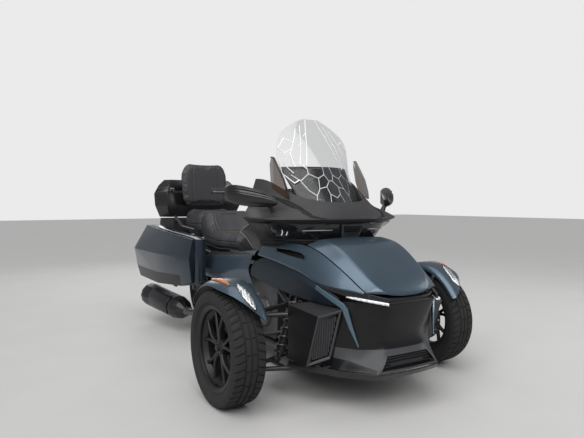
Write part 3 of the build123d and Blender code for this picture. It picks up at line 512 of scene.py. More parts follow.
@dataclass(frozen=True)
class Lamp(Finish):
    """A lens over a mirrored reflector of small ribs and cells, lit a little from within."""

    glow: float = 1.2
    pitch: float = 14.0
    mirrored: float = 0.0

    def draw(self, shader: Shader) -> bpy.types.Material:
        """Ribs and cells in glow, colour and relief.

        Args:
            shader: the material's nodes.

        Returns:
            The material.
        """
        x, y, z = shader.parts(shader.place())
        ribs = shader.math("SINE", (x * 0.6 + y + z * 0.3) * (math.tau * 1000 / self.pitch)) * 0.5 + 0.5
        cells = shader.ease(shader.cells(4200.0 / self.pitch, "DISTANCE_TO_EDGE"), 0.01, 0.09)
        tone = shader.blend(cells * (0.55 + ribs * 0.45), self.tint(0.25), self.color)
        return shader.finish(
            Base_Color=tone, Roughness=0.1 + shader.noise(60.0) * 0.05, Metallic=self.mirrored,
            Coat_Weight=0.8, Coat_Roughness=0.03, Emission_Color=tone, Emission_Strength=self.glow,
            Normal=shader.bump(ribs + cells, 0.0009))


@dataclass(frozen=True)
class Dials(Finish):
    """A dark display with two plain ring gauges and a bar."""

    def draw(self, shader: Shader) -> bpy.types.Material:
        """Rings with ticks at both sides and a row of segments between them.

        Args:
            shader: the material's nodes.

        Returns:
            The material.
        """
        _, y, z = shader.parts(shader.place())
        across, up = abs(y) * 1000 - 62, (z * 1000 - 996) * 1.1
        radius = shader.math("SQRT", across * across + up * up)
        ring = shader.ease(abs(radius - 36), 1.6, 0.8)
        turn = shader.math("FRACT", shader.math("ARCTAN2", up, across) * (24 / math.tau))
        ticks = shader.ease(abs(turn - 0.5), 0.12, 0.07) * shader.ease(abs(radius - 31), 3.0, 2.4)
        middle = shader.ease(abs(y), 0.018, 0.017) * shader.ease(abs(shader.math("FRACT", z * 110.0) - 0.5), 0.3, 0.26)
        middle = middle * shader.ease(abs(up), 34.0, 33.0)
        ink = shader.math("MAXIMUM", shader.math("MAXIMUM", ring, ticks), middle * 0.6)
        return shader.finish(
            Base_Color=self.color, Roughness=0.06 + ink * 0.1, Coat_Weight=0.5,
            Emission_Color=shader.blend(ink, (0.0, 0.0, 0.0), (0.35, 0.5, 0.6)), Emission_Strength=0.8)


DISPLAY = Dials("ring_display", "gloss_black", (0.006, 0.007, 0.008))

BLUE = Paint("blue_grey_paint", "blue_paint", (0.05, 0.078, 0.105), rough=0.36, coat=0.35)
# the body's blue paint darkened for the panniers, as painted shade
SHADED_PANNIER_BLUE = Paint("deep_blue_paint", "blue_paint", (0.017, 0.029, 0.043))
# the body's blue paint darkened for the flanks, as painted shade
SHADED_FLANK_BLUE = Paint("shaded_blue_paint", "blue_paint", (0.012, 0.021, 0.032), metal=0.5, rough=0.5, coat=0.0)
TRIM = Paint("pale_trim_paint", "blue_trim", (0.095, 0.155, 0.195), rough=0.36, coat=0.3)
BLACK = Plastic("grained_black", "black_plastic", (0.022, 0.022, 0.024), rough=0.52)
SATIN = Plastic("satin_black", "black_plastic", (0.018, 0.018, 0.02), rough=0.34, grain=1400.0, depth=0.00005)
GLOSS = Plastic("gloss_black", "gloss_black", (0.006, 0.006, 0.007), rough=0.12, grain=300.0, depth=0.00001,
                coat=0.12)
GREY = Plastic("chin_grey", "black_plastic", (0.05, 0.051, 0.055), rough=0.4)
# the mask's own black, also put on the scoops' sideways walls as painted shade
MASK_AND_SIDE_SHADE_BLACK = Plastic("mask_black", "black_plastic", (0.008, 0.008, 0.009), rough=0.3, grain=1400.0, depth=0.00004)
# flat black painted as shadow, for sheets and walls that stand where shade falls
PAINTED_SHADOW_BLACK = Plastic("shadow_black", "black_plastic", (0.004, 0.004, 0.0045), rough=0.62)
SLAT = Plastic("slat_grey", "black_plastic", (0.085, 0.086, 0.09), rough=0.42)
COLLAR = Plastic("collar_grey", "black_plastic", (0.031, 0.0305, 0.032), rough=0.5)
ALLOY = Paint("black_alloy", "black_alloy", (0.012, 0.012, 0.013), metal=0.3, rough=0.16, coat=0.8)
TUBE = Paint("frame_satin", "frame_black", (0.02, 0.02, 0.022), metal=0.2, rough=0.36, coat=0.3)
CAST = Metal("cast_grey", "cast_grey", (0.2, 0.2, 0.205), rough=0.48)
CASE_METAL = Metal("engine_case", "engine_grey", (0.13, 0.13, 0.135), rough=0.5)
STEEL = Metal("coated_steel", "spring_steel", (0.24, 0.24, 0.25), rough=0.34)
DISC_STEEL = Metal("brake_disc_steel", "black_alloy", (0.42, 0.42, 0.42), metal=1.0, rough=0.3, depth=0.00003)
SILENCER = Metal("dark_silencer", "exhaust_steel", (0.05, 0.05, 0.054), rough=0.36, brushed=True, depth=0.00004)
BELT = Rubber("belt_rubber", "belt_rubber", (0.02, 0.02, 0.02), ribs=9.0)
GRIP = Rubber("grip_rubber", "grip_rubber", (0.02, 0.02, 0.02), ribs=7.0)
SEAT = Vinyl("seat_vinyl", "seat_vinyl", (0.024, 0.024, 0.026))
SEAT_FRONT = Vinyl("seat_front_vinyl", "seat_vinyl", (0.052, 0.047, 0.044))
SMOKE = Glass("smoked_fin", "smoked_lens", (0.075, 0.04, 0.022), clear=0.5)
LENS = Glass("dark_lens", "smoked_lens", (0.012, 0.013, 0.015), clear=0.12)
LED = Lamp("white_light", "lamp_white", (0.86, 0.9, 0.95), glow=0.42, pitch=30.0)
CHROME_LAMP = Lamp("clear_marker", "lamp_white", (0.85, 0.86, 0.86), glow=0.05, pitch=17.0, mirrored=0.85)
RED_LAMP = Lamp("red_lens", "lamp_red", (0.3, 0.006, 0.006), glow=0.25)
AMBER = Lamp("amber_marker", "lamp_white", (0.62, 0.17, 0.02), glow=0.12, pitch=9.0)

MIRROR = Metal("mirror_silver", "gloss_black", (0.72, 0.74, 0.76), metal=1.0, rough=0.09, depth=0.0)
KNEE = Rubber("knee_rubber", "grip_rubber", (0.024, 0.024, 0.025), ribs=0.0)
SPRING = Paint("spring_coat", "spring_steel", (0.06, 0.062, 0.066), metal=0.4, rough=0.3)
PIPE = Metal("dark_pipe", "exhaust_steel", (0.16, 0.15, 0.145), metal=0.9, rough=0.38)
PLATE = Plastic("bare_plate_white", "lamp_white", (0.6, 0.6, 0.6), rough=0.35, grain=1200.0, depth=0.00002)

THREAD = Vinyl("seam_thread", "seat_vinyl", (0.02, 0.02, 0.021))
PALE_THREAD = Vinyl("pale_thread", "seat_vinyl", (0.18, 0.18, 0.18))


# The studio

@dataclass
class Studio:
    """Camera, floor, backdrop and lights."""

    eye: Point = (2399.0, -1801.0, 982.0)
    heading: float = 31.83
    lens: float = 33.146
    drop: float = -0.0279
    floor_size: float = 60.0
    floor_color: Color = (0.47, 0.465, 0.455)

    def stand(self, name: str, data: bpy.types.ID, place: Vector, look: Vector) -> bpy.types.Object:
        """Stand a camera or lamp at a place, looking along a vector.

        Args:
            name: the object's name.
            data: the object's data.
            place: where it stands.
            look: where it looks.

        Returns:
            The object.
        """
        thing = bpy.data.objects.new(name, data)
        thing.location, thing.rotation_euler = place, look.to_track_quat("-Z", "Y").to_euler()
        bpy.context.scene.collection.objects.link(thing)
        return thing

    def camera(self) -> None:
        """Stand the camera where the photograph was taken."""
        data = bpy.data.cameras.new("camera")
        data.lens, data.sensor_width, data.sensor_fit = self.lens, 36.0, "HORIZONTAL"
        data.shift_y, data.clip_end = self.drop, 200.0
        turn = math.radians(self.heading)
        bpy.context.scene.camera = self.stand("camera", data, at(*self.eye),
                                              Vector((-math.cos(turn), math.sin(turn), 0.0)))

    def floor(self) -> None:
        """A plain pale floor."""
        mesh = BMeshPiece()
        bmesh.ops.create_grid(mesh.bm, x_segments=2, y_segments=2, size=self.floor_size / 2)
        shader = Shader("studio_floor")
        speck = shader.ease(shader.noise(2.2, 6.0, 0.6), 0.3, 0.8)
        tone = shader.blend(speck, self.floor_color, tuple(c * 0.96 for c in self.floor_color))
        shader.finish(Base_Color=tone, Roughness=0.75)
        piece = mesh.plain("studio_floor", shader.material)
        piece.location.z = -0.0005

    def world(self) -> None:
        """A pale room that camera, gloss and glass see as the backdrop."""
        world = bpy.context.scene.world = bpy.data.worlds.new("room")
        world.use_nodes = True
        nodes = world.node_tree.nodes
        nodes.clear()
        output, paths, room, seen, either, mix = (nodes.new("ShaderNode" + kind) for kind in (
            "OutputWorld", "LightPath", "Background", "Background", "Math", "MixShader"))
        room.inputs[0].default_value, room.inputs[1].default_value = (0.86, 0.88, 0.92, 1.0), 0.3
        seen.inputs[0].default_value, seen.inputs[1].default_value = (0.83, 0.83, 0.83, 1.0), 1.0
        either.operation = "MAXIMUM"
        for source, target in ((paths.outputs["Is Camera Ray"], either.inputs[0]),
                               (paths.outputs["Is Transmission Ray"], either.inputs[1]),
                               (either.outputs[0], mix.inputs[0]), (room.outputs[0], mix.inputs[1]),
                               (seen.outputs[0], mix.inputs[2]), (mix.outputs[0], output.inputs["Surface"])):
            world.node_tree.links.new(source, target)

    def lights(self) -> None:
        """Large soft lamps: one above, one from each front corner and one behind."""
        # each row: name, place in metres, size (a sun's is its angle in degrees), power
        rows = (
            ("key_sun", "SUN", (2.4, -3.0, 5.0), 60.0, 2.7),
            ("top_light", "AREA", (0.4, 0.2, 4.2), 3.0, 36.0),
            ("front_light", "AREA", (4.8, -0.4, 3.2), 1.6, 44.0),
            ("side_light", "AREA", (1.2, -5.0, 3.4), 1.6, 30.0),
            ("far_light", "AREA", (2.0, 4.4, 2.6), 2.4, 40.0),
            ("back_light", "AREA", (-4.6, 0.6, 3.0), 2.6, 40.0),
        )
        for name, kind, place, size, power in rows:
            data = bpy.data.lights.new(name, kind)
            data.energy = power
            if kind == "SUN":
                data.angle = math.radians(size)
            else:
                data.shape, data.size = "DISK", size
            self.stand(name, data, Vector(place), Vector((0.2, 0.0, 0.55)) - Vector(place))

    def build(self) -> None:
        """Set the whole studio."""
        self.camera()
        self.floor()
        self.world()
        self.lights()
        bpy.context.scene.view_settings.view_transform = "Standard"


# Mesh building

class BMeshPiece:
    """One piece while it is modelled: a bmesh and the operators that shape it."""

    def __init__(self) -> None:
        """Start empty."""
        self.bm = bmesh.new()

    def ring(self, points: Sequence[Point], closed: bool = False) -> list[bmesh.types.BMEdge]:
        """A chain of edges through points.

        Args:
            points: millimetres from the front axle.
            closed: whether the last point joins the first.

        Returns:
            The chain's edges.
        """
        verts = [self.bm.verts.new(at(*p)) for p in points]
        pairs = list(zip(verts, verts[1:])) + ([(verts[-1], verts[0])] if closed else [])
        return [self.bm.edges.new(pair) for pair in pairs]

    def faces_out(self) -> "BMeshPiece":
        """Turn every face outward."""
        bmesh.ops.recalc_face_normals(self.bm, faces=self.bm.faces)
        return self

    def reverse_if(self, wrong: bool) -> "BMeshPiece":
        """Turn every face over where a test says that they look the wrong way.

        Args:
            wrong: whether the faces look the wrong way.

        Returns:
            The piece.
        """
        if wrong:
            bmesh.ops.reverse_faces(self.bm, faces=self.bm.faces)
        return self

    def bridge(self, chains: list[list[bmesh.types.BMEdge]], joined: bool = False,
               capped: bool = False) -> "BMeshPiece":
        """Bridge chains of edges.

        Args:
            chains: the chains, of equal length.
            joined: whether the last is bridged to the first.
            capped: whether the first and last get a face.

        Returns:
            The piece.
        """
        for first, second in zip(chains, chains[1:] + (chains[:1] if joined else [])):
            bmesh.ops.bridge_loops(self.bm, edges=first + second)
        for chain in (chains[0], chains[-1]) if capped else ():
            bmesh.ops.contextual_create(self.bm, geom=chain)
        return self.faces_out()

    def loft(self, rows: Sequence[Sequence[Point]], closed: bool = False, capped: bool = False) -> "BMeshPiece":
        """Bridge rows of points in millimetres, each a closed loop or not, with faces on both ends or not."""
        return self.bridge([self.ring(row, closed) for row in rows], capped=capped)

    def pick(self, test: Callable[[Vector], bool]) -> list[bmesh.types.BMFace]:
        """The faces whose middle, in metres, passes a test."""
        return [face for face in self.bm.faces if test(face.calc_center_median())]

    def crease(self, test: Callable[[Vector, Vector], bool] | None = None, amount: float = 1.0) -> "BMeshPiece":
        """Crease the edges whose ends, in millimetres from the axle, pass a test, or else the open border.

        Args:
            test: which edges, by their two ends; the rim's where it is left out.
            amount: the crease's weight.

        Returns:
            The piece.
        """
        layers = self.bm.edges.layers.float
        layer = layers.get("crease_edge") or layers.new("crease_edge")
        shift = Vector((AXLE_X, 0.0, 0.0))
        for edge in self.bm.edges:
            if test(*(v.co * 1000 - shift for v in edge.verts)) if test else edge.is_boundary:
                edge[layer] = amount
        return self

    def crease_line(self, offsets: set[float], amount: float, fall: float = -1.0) -> "BMeshPiece":
        """Crease the edges between corners at some offsets from the middle that differ in height by more than fall."""
        return self.crease(lambda a, b: {round(abs(a.y)), round(abs(b.y))} <= offsets and abs(a.z - b.z) > fall, amount)

    def spun(self, profile: Sequence[Pair], centre: Point, steps: int = 96, closed: bool = False) -> "BMeshPiece":
        """Spin a (radius, offset) profile about the Y axis through a centre.

        Args:
            profile: millimetres from the axis and along it.
            centre: the turning centre in millimetres.
            steps: spin steps.
            closed: whether the profile is a loop.

        Returns:
            The piece.
        """
        cx, cy, cz = centre
        edges = self.ring([(cx + r, cy + a, cz) for r, a in profile], closed)
        verts = list({v for e in edges for v in e.verts})
        bmesh.ops.spin(self.bm, geom=verts + edges, cent=at(*centre), axis=(0.0, -1.0, 0.0), angle=math.tau,
                       steps=steps, use_merge=True)
        bmesh.ops.remove_doubles(self.bm, verts=self.bm.verts, dist=0.00002)
        return self.faces_out()

    def tube(self, path: Sequence[Point], radii: float | Sequence[float], steps: int = 16,
             closed: bool = False, flat: float = 1.0) -> "BMeshPiece":
        """Circles along a path, bridged one to the next.

        Args:
            path: the circles' centres in millimetres.
            radii: one radius, or one for each centre.
            steps: corners of each circle.
            closed: whether the path joins up.
            flat: the circles' height against their width.

        Returns:
            The piece.
        """
        spots = [at(*p) for p in path]
        wide = [radii] * len(spots) if isinstance(radii, (int, float)) else list(radii)
        count = len(spots)
        ahead = [(spots[(i + 1) % count] - spots[i - 1] if closed else
                  spots[min(i + 1, count - 1)] - spots[max(i - 1, 0)]).normalized() for i in range(count)]
        turn = ahead[0].to_track_quat("Z", "Y")
        chains = []
        for i, spot in enumerate(spots):
            if i:
                turn = ahead[i - 1].rotation_difference(ahead[i]) @ turn
            place = Matrix.Translation(spot) @ turn.to_matrix().to_4x4() @ Matrix.Diagonal((1.0, flat, 1.0, 1.0))
            made = bmesh.ops.create_circle(self.bm, cap_ends=False, segments=steps, radius=wide[i] / 1000,
                                           matrix=place)["verts"]
            chains.append(list({e for v in made for e in v.link_edges}))
        return self.bridge(chains, joined=closed, capped=not closed)

    def rod(self, start: Vector, axis: Vector, steps: Sequence[Pair], corners: int) -> "BMeshPiece":
        """A tube along a straight axis, from steps of (length, radius)."""
        return self.tube([tuple(start + axis * t) for t, _ in steps], [r for _, r in steps], corners)

    def push(self, made: list[object], move: Point) -> list[bmesh.types.BMFace]:
        """Move an extrusion's new corners, in millimetres, and give its faces.

        Args:
            made: what an extrusion made.
            move: the push in millimetres.

        Returns:
            The faces among it.
        """
        verts = [g for g in made if isinstance(g, bmesh.types.BMVert)]
        bmesh.ops.translate(self.bm, verts=verts, vec=Vector(move) / 1000)
        return [g for g in made if isinstance(g, bmesh.types.BMFace)]

    def plate(self, outline: Sequence[Point], depth: Point) -> "BMeshPiece":
        """A flat outline pushed along a vector into a solid, in millimetres.

        Args:
            outline: the points round it in millimetres.
            depth: the push to its other side.

        Returns:
            The piece.
        """
        made = bmesh.ops.contextual_create(self.bm, geom=self.ring(outline, True))["faces"]
        self.push(bmesh.ops.extrude_face_region(self.bm, geom=made)["geom"], depth)
        return self.faces_out()

    def slab(self, xs: Pair, ys: Pair, z: float, tall: float) -> "BMeshPiece":
        """A box from its X and Y limits, its foot and its height, in millimetres."""
        return self.plate([(xs[0], ys[0], z), (xs[1], ys[0], z), (xs[1], ys[1], z), (xs[0], ys[1], z)], (0, 0, tall))

    def cone(self, spot: Point, lean: float, radii: Pair, depth: float, corners: int) -> "BMeshPiece":
        """A capped cone at a point, in millimetres, that leans about X by some radians.

        Args:
            spot: its middle in millimetres.
            lean: its turn in radians.
            radii: the radii of its ends.
            depth: its length.
            corners: corners of its section.

        Returns:
            The piece.
        """
        place = Matrix.Translation(at(*spot)) @ Matrix.Rotation(lean, 4, "X")
        bmesh.ops.create_cone(self.bm, cap_ends=True, segments=corners, radius1=radii[0] / 1000,
                              radius2=radii[1] / 1000, depth=depth / 1000, matrix=place)
        return self

    def soften(self, width: float, segments: int = 2, angle: float = 30.0) -> "BMeshPiece":
        """Bevel the edges that bend by more than an angle; width in millimetres.

        Args:
            width: bevel width in millimetres.
            segments: bevel segments.
            angle: the least angle of an edge that is eased.

        Returns:
            The piece.
        """
        sharp = [e for e in self.bm.edges if e.is_manifold and e.calc_face_angle(0.0) > math.radians(angle)]
        bmesh.ops.bevel(self.bm, geom=sharp, offset=width / 1000, offset_type="OFFSET", segments=segments,
                        profile=0.5, affect="EDGES", material=-1, clamp_overlap=True)
        return self

    def plain(self, name: str, *materials: bpy.types.Material, smooth: float = 35.0) -> bpy.types.Object:
        """Make the object.

        Args:
            name: the piece's name.
            materials: its materials, in slot order.
            smooth: the angle in degrees above which edges stay sharp.

        Returns:
            The object, at the origin.
        """
        mesh = bpy.data.meshes.new(name)
        self.bm.to_mesh(mesh)
        self.bm.free()
        for material in materials:
            mesh.materials.append(material)
        mesh.shade_smooth()
        mesh.set_sharp_from_angle(angle=math.radians(smooth))
        piece = bpy.data.objects.new(name, mesh)
        bpy.context.scene.collection.objects.link(piece)
        return piece

    def piece(self, name: str, *finishes: Finish, body: str = "chassis", nodes: Sequence[str] = (),
              smooth: float = 35.0, rounds: int = 0, wall: float = 0.0, offset: float = -1.0,
              edge: float = 0.0, segments: int = 2) -> bpy.types.Object:
        """Make the object, dress it, tie it to its body and give it its modifiers.

        Args:
            name: the piece's name.
            finishes: its finishes, in slot order.
            body: the CAD body that it rides on.
            nodes: the CAD nodes that it replaces.
            smooth: the angle in degrees above which edges stay sharp.
            rounds: levels of subdivision.
            wall: a sheet's wall in millimetres.
            offset: where the wall stands: -1 within the sheet, 0 on both sides.
            edge: the rounding of sharp edges in millimetres.
            segments: steps of that rounding.

        Returns:
            The object.
        """
        made = self.plain(name, *(f.material() for f in finishes), smooth=smooth)
        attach(made, body)
        if nodes:
            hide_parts(*nodes)
        if rounds:
            subdivide(made, rounds)
        if wall:
            thicken(made, wall, offset)
        if edge:
            ease_edges(made, edge, segments)
        return made


def bar(rows: Sequence[Sequence[Point]]) -> BMeshPiece:
    """A solid lofted through closed sections."""
    return BMeshPiece().loft(rows, closed=True, capped=True)


def paint(faces: Sequence[bmesh.types.BMFace], index: int) -> None:
    """Give faces another of their piece's finishes."""
    for face in faces:
        face.material_index = index


def subdivide(piece: bpy.types.Object, levels: int) -> None:
    """Round a piece with a Subdivision Surface modifier."""
    modifier = piece.modifiers.new("rounding", "SUBSURF")
    modifier.levels = modifier.render_levels = levels


def thicken(piece: bpy.types.Object, wall: float, offset: float = -1.0) -> bpy.types.Modifier:
    """Give a sheet its wall, in millimetres, with a Solidify modifier.

    Args:
        piece: the sheet.
        wall: thickness in millimetres.
        offset: where the sheet lies in its wall, from -1 to 1.

    Returns:
        The modifier.
    """
    modifier = piece.modifiers.new("wall", "SOLIDIFY")
    modifier.thickness, modifier.offset = wall / 1000, offset
    return modifier


def ease_edges(piece: bpy.types.Object, width: float, segments: int = 2, angle: float = 40.0) -> None:
    """Round a piece's sharp edges, in millimetres, with a Bevel modifier.

    Args:
        piece: the piece.
        width: bevel width in millimetres.
        segments: bevel segments.
        angle: the least angle in degrees of an edge that is eased.
    """
    modifier = piece.modifiers.new("edges", "BEVEL")
    modifier.width, modifier.segments, modifier.limit_method = width / 1000, segments, "ANGLE"
    modifier.angle_limit = math.radians(angle)
    modifier.harden_normals = True


def settle(piece: bpy.types.Object) -> None:
    """Make a piece's modified shape its own mesh, with no modifier left.

    Args:
        piece: the piece.
    """
    shown = piece.evaluated_get(bpy.context.evaluated_depsgraph_get())
    mesh = bpy.data.meshes.new_from_object(shown)
    piece.modifiers.clear()
    piece.data = mesh


def node_copy(node: str) -> BMeshPiece:
    """A merged copy of a CAD node's mesh.

    Args:
        node: the CAD node's name.

    Returns:
        The mesh to work on.
    """
    copy = BMeshPiece()
    copy.bm.from_mesh(bpy.data.objects[node].data)
    bmesh.ops.remove_doubles(copy.bm, verts=copy.bm.verts, dist=0.00005)
    bmesh.ops.dissolve_limit(copy.bm, angle_limit=math.radians(1.0), verts=copy.bm.verts, edges=copy.bm.edges)
    return copy


def polish(frame: dict, node: str, finish: Finish, width: float = 0.0) -> None:
    """Replace a CAD node by its merged copy, with edges rounded by a width in millimetres."""
    body = next(b for b, names in frame["record"]["behaviour"]["bodies"].items() if node in names)
    node_copy(node).piece(node + "_body", finish, body=body, nodes=(node,), smooth=32.0, edge=width)


# Nose

@dataclass
class Nose:
    """The painted front: lid, quarter panels, mask, chin, lamps, blades and scoops."""

    wall: float = 3.5
    # each row: centre, mid, crease and seam points of the lid, from the screen to the front
    lid_rows: tuple[Row, ...] = (
        ((112, 0, 797), (112, 105, 796), (112, 205, 792), (112, 288, 768)),
        ((200, 0, 786), (200, 106, 785), (200, 208, 781), (200, 275, 742)),
        ((270, 0, 764), (270, 106, 763), (270, 208, 758), (270, 264, 707)),
        ((345, 0, 718), (345, 104, 717), (345, 203, 712), (345, 251, 666)),
        ((412, 0, 674), (412, 100, 673), (412, 196, 667), (408, 239, 627)),
        ((474, 0, 632), (472, 94, 632), (466, 182, 630), (456, 230, 595)),
        ((524, 0, 588), (522, 84, 588), (506, 160, 597), (484, 224, 577)),
        ((543, 0, 562), (541, 76, 562), (528, 138, 571), (489, 221, 574)),
        ((546, 0, 548), (544, 72, 549), (531, 132, 560), (490, 219, 566)),
    )
    # each row: seam, shoulder, crease, and lower edge points of the quarter panel
    panel_rows: tuple[Row, ...] = (
        ((-330, 286, 749), (-330, 306, 737), (-330, 338, 690), (-330, 336, 680)),
        ((-160, 288, 759), (-160, 309, 741), (-160, 338, 678), (-160, 336, 668)),
        ((20, 290, 768), (20, 311, 738), (20, 335, 654), (20, 333, 643)),
        ((132, 288, 760), (132, 307, 720), (132, 331, 636), (132, 329, 625)),
        ((200, 278, 737), (200, 299, 690), (200, 328, 612), (200, 326, 602)),
        ((270, 267, 703), (270, 290, 655), (270, 322, 590), (270, 320, 580)),
        ((345, 254, 662), (345, 274, 628), (345, 304, 584), (345, 301, 575)),
        ((408, 242, 622), (408, 254, 602), (408, 272, 580), (408, 269, 571)),
        ((456, 233, 590), (458, 239, 582), (459, 247, 574), (458, 244, 566)),
        ((488, 226, 572), (488, 228, 570), (488, 230, 567), (487, 228, 560)),
    )
    # each row: centre, opening edge, crease, blade edge and cheek points of the mask, going down
    mask_rows: tuple[Row, ...] = (
        ((573, 0, 520), (569, 104, 520), (560, 150, 520), (410, 246, 520), (396, 282, 520)),
        ((556, 0, 472), (552, 100, 472), (541, 143, 472), (421, 252, 472), (386, 285, 472)),
        ((537, 0, 420), (533, 94, 420), (520, 135, 420), (431, 256, 420), (376, 286, 420)),
        ((520, 0, 372), (516, 88, 372), (501, 126, 372), (439, 244, 372), (363, 288, 372)),
        ((511, 0, 340), (507, 86, 340), (493, 122, 340), (443, 235, 340), (356, 288, 340)),
        ((520, 0, 300), (516, 92, 300), (506, 127, 300), (446, 228, 300), (346, 289, 300)),
        ((534, 0, 274), (529, 124, 274), (519, 143, 274), (432, 246, 274), (340, 290, 274)),
        ((546, 0, 252), (540, 142, 252), (530, 158, 252), (418, 264, 252), (336, 292, 252)),
        ((553, 0, 214), (544, 172, 214), (538, 186, 214), (397, 293, 214), (331, 301, 214)),
        ((554, 0, 204), (545, 178, 204), (540, 192, 204), (392, 300, 204), (330, 304, 204)),
    )

    def lid(self) -> None:
        """The lid, crowned between its two creases, with its edges turned down, and its liner."""
        sheet = BMeshPiece().loft([whole_width(row) for row in self.lid_rows])
        sheet.crease_line({row[2][1] for row in self.lid_rows}, 0.6).crease()
        sheet.piece("hood_lid", BLUE, body="hood", nodes=("trunk_lid",), smooth=60, rounds=3, wall=self.wall, edge=1.2)
        liner = [[(x - 12, y * 0.93, z - 9) for x, y, z in whole_width(row)] for row in self.lid_rows[1:-2]]
        BMeshPiece().loft(liner).piece("hood_liner", BLACK, body="hood", smooth=60, rounds=2, wall=2.0)

    def quarter_panel(self, side: Side) -> None:
        """A quarter panel with its sunk duct.

        Args:
            side: the side of the vehicle.
        """
        rows = [(seam, shoulder, tuple((a + b) / 2 for a, b in zip(shoulder, keel)), keel, lower)
                for seam, shoulder, keel, lower in self.panel_rows]
        sheet = BMeshPiece().loft(side.lines(rows))
        sheet.crease_line({row[2][1] for row in self.panel_rows}, 0.85).crease()
        duct = sheet.pick(lambda m: -110 < m.x * 1000 - AXLE_X < 112 and 0.305 < abs(m.y) < 0.319 and m.z > 0.69)
        bmesh.ops.inset_region(sheet.bm, faces=duct, thickness=0.005, depth=0.0)
        # the mouth leans: its rear end closes in from both sides, its front end from below
        for vert in {v for f in duct for v in f.verts}:
            x, low = vert.co.x * 1000 - AXLE_X, abs(vert.co.y) > 0.3135
            slide = (0.14 if low else -0.14) if x < -100 else 0.34 if low and x > 100 else 0.0
            vert.co += Vector((0.0, -side.value * 0.013 * slide, 0.038 * slide))
        layer = sheet.bm.edges.layers.float.get("crease_edge")
        corner = sheet.bm.verts.layers.float.new("crease_vert")
        walls = bmesh.ops.inset_region(sheet.bm, faces=duct, thickness=0.0015, depth=0.0)["faces"]
        for face in walls + duct:
            for edge in face.edges:
                edge[layer] = 1.0
            for vert in face.verts:
                if sum(f in duct or f in walls for f in vert.link_faces) <= 2:
                    vert[corner] = 1.0
        for vert in {v for f in duct for v in f.verts}:
            depth = 0.55 if vert.co.x * 1000 - AXLE_X > 100 else 1.0
            vert.co += Vector((-0.006, -side.value * 0.022, -0.016)) * depth
        # the sunk duct and its walls take the shadow black: painted shade in the recess
        paint(duct + walls, 1)
        sheet.reverse_if(side is Side.LEFT).faces_out().piece(
            "quarter_panel_" + side.word, BLUE, PAINTED_SHADOW_BLACK, nodes=side.first("quarter_panels"), smooth=60, rounds=3,
            wall=self.wall, edge=1.0)

    def mask(self) -> None:
        """The waisted mask, its chin opening and the slot left bare."""
        sheet = BMeshPiece().loft([whole_width(row) for row in self.mask_rows])
        for column, amount in ((2, 0.8), (3, 0.9)):
            sheet.crease_line({row[column][1] for row in self.mask_rows}, amount, 4)
        sheet.crease(lambda a, b: near(a.z, 300, 3) and near(b.z, 300, 3), 0.45)
        paint(sheet.pick(lambda m: m.z < 0.300), 1)
        for face in sheet.pick(lambda m: m.z <= 0.252 and abs(m.y) >= 0.2):
            middle = face.calc_center_median()
            face.material_index = 0
            if middle.z > 0.214 and abs(middle.y) < 0.26:
                # the grey of the chin ends on a slant that falls toward the opening
                ranked = sorted(face.verts, key=lambda v: (round(v.co.z, 3), abs(v.co.y)))
                for half in (face, bmesh.utils.face_split(face, ranked[0], ranked[-1])[0]):
                    half.material_index = int(abs(half.calc_center_median().y) < abs(middle.y))
        hole = sheet.pick(lambda m: abs(m.y) < 0.13 and 0.214 < m.z < 0.274)
        bmesh.ops.delete(sheet.bm, geom=hole, context="FACES")
        rim = [e for e in sheet.bm.edges if e.is_boundary and all(
            0.213 < v.co.z < 0.275 and abs(v.co.y) < 0.18 for v in e.verts)]
        # the chin opening's inner walls take the shadow black: painted shade in the opening
        paint(sheet.push(bmesh.ops.extrude_edge_only(sheet.bm, edges=rim)["geom"], (-55, 0, -4)), 2)
        layer = sheet.bm.edges.layers.float.get("crease_edge")
        corner = sheet.bm.verts.layers.float.new("crease_vert")
        for edge in rim:
            edge[layer] = 1.0
            for vert in edge.verts:
                if (abs(vert.co.y) > 0.12) == (vert.co.z > 0.27) or abs(vert.co.y) > 0.17:
                    vert[corner] = 1.0
        sheet.crease().faces_out().piece("mask", MASK_AND_SIDE_SHADE_BLACK, GREY, PAINTED_SHADOW_BLACK, nodes=("nose_mask",), smooth=60, rounds=2,
                                         wall=self.wall, edge=1.5)

    def lips(self) -> None:
        """The glossy bar under the lid's front edge, the shelf over the mask and the chin's long lower lip."""
        path = [(556, 0, 541), (554, 70, 542), (546, 126, 545), (520, 178, 552), (492, 212, 558)]
        bar([[(x + 8, y, z - 16), (x + 4, y, z - 2), (x - 16, y, z + 1), (x - 20, y, z - 16)]
             for x, y, z in whole_width(path)]).piece("hood_lip_bar", GLOSS, smooth=40, edge=2.0)
        path = [(574, 0, 521), (570, 104, 521), (560, 150, 521), (482, 203, 524), (412, 248, 527)]
        bar([[(x, y, z), (x - 3, y, z + 6), (x - 40, y * 0.95, z + 9), (x - 42, y * 0.95, z + 2)]
             for x, y, z in whole_width(path)]).piece("mask_shelf", SATIN, smooth=40, edge=1.5)
        rows = []
        # the lower lip's outline in plan, from the centre out
        for x, y in ((555, 0), (551, 110), (541, 194), (470, 249), (400, 300), (262, 356), (125, 408)):
            drop = max(0.0, (y - 200) * 0.02)
            rows.append([(x, y, 202), (x + 2, y + 1, 196 - drop), (x - 22, y - 4, 168 - drop), (x - 30, y - 6, 170)])
        bar(Side.RIGHT.lines(rows[:0:-1]) + rows).piece("chin_lip_edge", GLOSS, smooth=40, edge=2.0, segments=3)

    def lamps(self, side: Side) -> None:
        """The dark housing and the lit strip beside the mask's top.

        Args:
            side: the side of the vehicle.
        """
        # each row: a point of the housing, its half height and its depth
        path = ((268, 326, 580, 3, 5), (338, 300, 570, 9, 11), (420, 256, 556, 15, 14), (500, 206, 548, 14, 12),
                (578, 153, 536, 11, 8))
        bar(side.lines([(x, y, z + tall), (x + 2, y + 2, z - tall), (x - deep, y - deep, z - tall),
                        (x - deep, y - deep, z + tall)] for x, y, z, tall, deep in path)
            ).piece("lamp_housing_" + side.word, GLOSS, smooth=40, edge=1.5)
